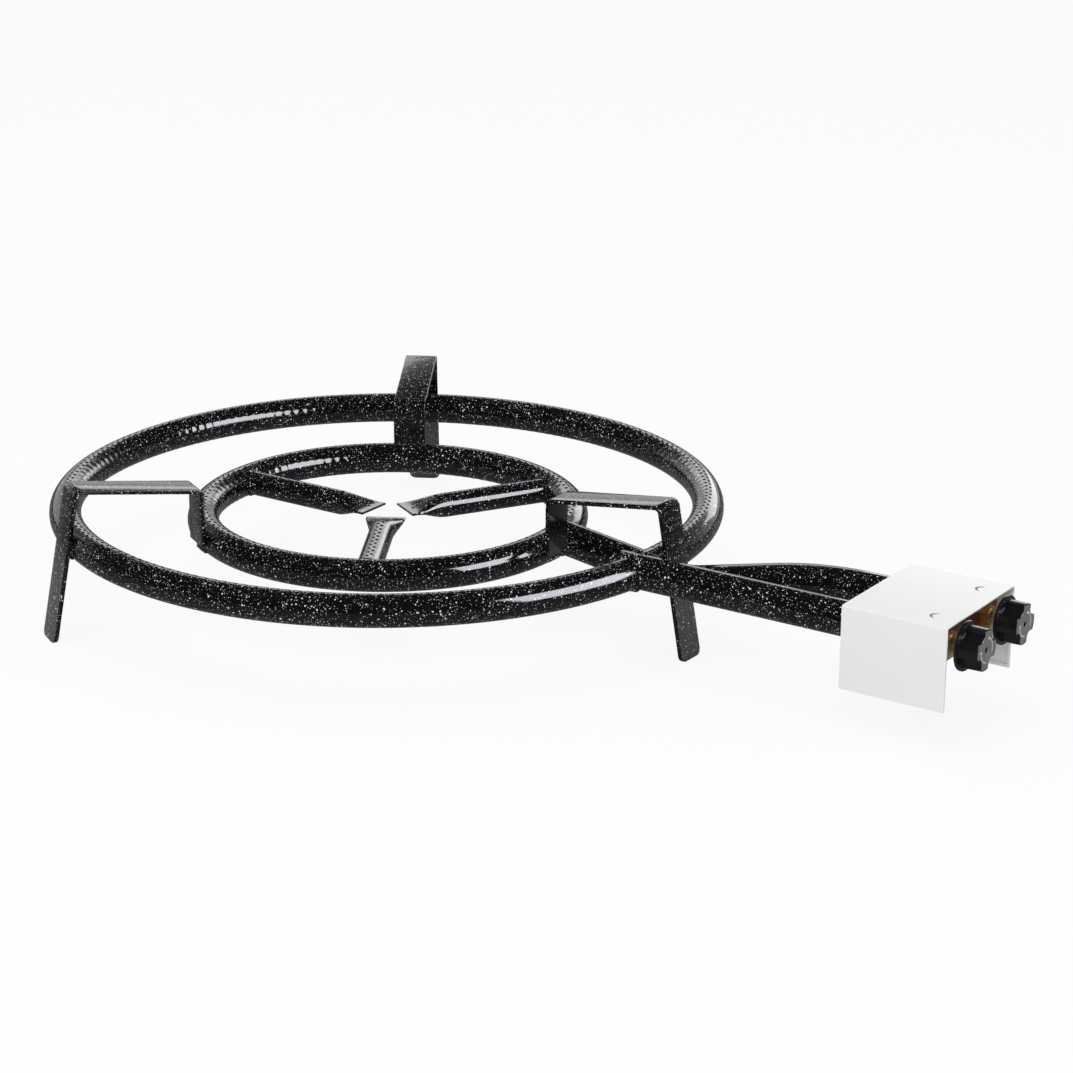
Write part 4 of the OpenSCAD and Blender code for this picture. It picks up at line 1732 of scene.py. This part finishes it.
@dataclass
class Studio:
    """Camera, floor, lamps and surround.

    The picture's sizes are in pixels, near_reach is in millimetres, and other lengths in metres.
    """

    azimuth: float = 36.712
    elevation: float = 18.351
    distance: float = 2.69981
    focal: float = 3012.03
    picture: float = 1073.0
    ring_spot: tuple[float, float] = (388.652, 497.359)
    roll: float = 0.612
    sensor: float = 36.0
    fill: float = 0.62
    floor_size: float = 30.0
    floor_grey: float = 0.86
    floor_glow: float = 0.9
    floor_mirror: float = 0.04
    near_mirror: float = 0.1
    near_reach: tuple[float, float] = (350.0, 1900.0)
    room: float = 0.03
    backdrop: float = 0.8
    backdrop_spread: tuple[float, float] = (0.3, 0.85)
    backdrop_rise: tuple[float, float] = (0.2, 0.6)

    def camera(self) -> None:
        """Sets the camera so that the outer ring's middle falls on its spot in the picture."""
        back = towards(self.azimuth, self.elevation)
        right = towards(self.azimuth + 90, 0.0)
        ahead = -back
        up = right.cross(ahead)
        pan, tip = (math.atan2(spot - self.picture / 2, self.focal) for spot in self.ring_spot)
        lifted = up * math.cos(tip) - ahead * math.sin(tip)
        ahead = ahead * math.cos(tip) + up * math.sin(tip)
        turned = right * math.cos(pan) + ahead * math.sin(pan)
        ahead = ahead * math.cos(pan) - right * math.sin(pan)
        roll = math.radians(self.roll)
        x_axis = turned * math.cos(roll) - lifted * math.sin(roll)
        y_axis = turned * math.sin(roll) + lifted * math.cos(roll)
        matrix = Matrix((x_axis, y_axis, -ahead)).transposed().to_4x4()
        matrix.translation = RING_CENTRE + back * self.distance
        data = bpy.data.cameras.new("camera")
        data.sensor_width = self.sensor
        data.lens = self.sensor * self.focal / self.picture
        data.clip_start, data.clip_end = 0.1, 100.0
        seat = bpy.data.objects.new("camera", data)
        bpy.context.scene.collection.objects.link(seat)
        seat.matrix_world = matrix
        bpy.context.scene.camera = seat

    def floor(self) -> None:
        """Lays a white floor that keeps a faint shadow."""
        bm = bmesh.new()
        bmesh.ops.create_grid(bm, x_segments=1, y_segments=1, size=self.floor_size)
        mesh = bpy.data.meshes.new("floor")
        bm.to_mesh(mesh)
        bm.free()
        mesh.transform(Matrix.Translation((0, 0, CAD_BOX[0].z)))
        made = bpy.data.materials.new("floor")
        made.use_nodes = True
        shader = Shader(made.node_tree)
        seen, gloss = shader.rays()
        away = Signal(shader, shader.vector("LENGTH", {0: shader.place()}).outputs["Value"])
        near = 1.0 - away.ramp(*self.near_reach)
        level = seen + gloss * (self.floor_mirror + self.near_mirror * near)
        matt = shader.signal("ShaderNodeBsdfDiffuse", None, {"Color": grey(self.floor_grey)})
        glow = shader.signal("ShaderNodeEmission", None, {"Color": grey(1.0), "Strength": level})
        share = seen.larger(gloss) * self.floor_glow
        surface = shader.signal("ShaderNodeMixShader", None, {0: share, 1: matt, 2: glow})
        shader.node("ShaderNodeOutputMaterial", None, {"Surface": surface})
        mesh.materials.append(made)
        ground = bpy.data.objects.new("floor", mesh)
        bpy.context.scene.collection.objects.link(ground)

    def surround(self) -> None:
        """Gives a white backdrop, an even fill, and a darker room for the gloss."""
        world = bpy.data.worlds.new("studio")
        bpy.context.scene.world = world
        world.use_nodes = True
        shader = Shader(world.node_tree)
        seen, gloss = shader.rays()
        way = shader.signal("ShaderNodeTexCoord", output="Generated")
        ahead = -towards(self.azimuth, 0.0)
        depth = Signal(shader, shader.vector("DOT_PRODUCT", {0: way, 1: ahead}).outputs["Value"])
        low = 1.0 - shader.height(way).ramp(*self.backdrop_rise)
        dome = self.room + self.backdrop * (depth.ramp(*self.backdrop_spread) * low)
        level = seen + (1.0 - seen) * (gloss * dome + (1.0 - gloss) * self.fill)
        light = shader.signal(
            "ShaderNodeBackground", None, {"Color": grey(1.0), "Strength": level}
        )
        shader.node("ShaderNodeOutputWorld", None, {"Surface": light})

    def lamps(self) -> None:
        """Hangs the fills over the burner, and the panels that only its gloss shows."""
        front = self.azimuth
        for lamp in (
            Lamp("roof", front - 30, 72.0, 2.6, (2.4, 2.4), 1.5, on_gloss=False),
            Lamp("front_fill", front - 5, 20.0, 3.0, (1.8, 1.4), 1.5, on_gloss=False),
            Lamp("back_box", front + 180, 21.0, 3.2, (1.9, 0.5), 1.8, on_paint=False),
            Lamp("side_window", front + 150, 14.0, 3.0, (1.2, 0.7), 2.8, on_paint=False),
            Lamp(
                "panel", front + 62, 22.0, 2.2, (1.7, 1.3), 15.0, (0.93, 0.94, 1.0), on_paint=False
            ),
        ):
            lamp.hang()

    def build(self) -> None:
        """Sets up the whole studio."""
        bpy.context.scene.view_settings.view_transform = "Standard"
        self.camera()
        self.floor()
        self.surround()
        self.lamps()


def main() -> None:
    """Builds the burner's pieces in order."""
    logging.basicConfig(level=logging.INFO, format="%(message)s")
    Studio().build()
    joint = math.degrees(math.asin(-TAP_SIDE / OUTER_RADIUS))
    PerforatedRing("outer_ring", OUTER_RADIUS, 0.0, joint, plain_half=5.0).build()
    PerforatedRing("inner_ring", INNER_RADIUS, INNER_LEVEL).build()
    welds = Welds()
    for name, angle in (("left_spoke", 60.0), ("rear_spoke", 180.0), ("right_spoke", 300.0)):
        Spoke(name, angle).build()
        welds.spoke_joint(name + "_weld", angle)
    pipes = FeedPipes()
    pipes.build_outer()
    pipes.build_inner()
    welds.feed_joint()
    welds.inner_joint()
    for name, angle in (("front_leg", 0.0), ("left_leg", 120.0), ("right_leg", 240.0)):
        Leg(name, angle).build()
        welds.leg_joint(name + "_weld", angle)
    cover = ControlCover()
    cover.build()
    cover.marks()
    for side, y in (("outer", -TAP_SIDE), ("inner", TAP_SIDE)):
        knob = Knob(side + "_knob", side + "_control", y)
        knob.build()
        knob.face()
        knob.dial()
        TapSpring(side).build()
    Fittings().dress()


if __name__ == "__main__":
    main()
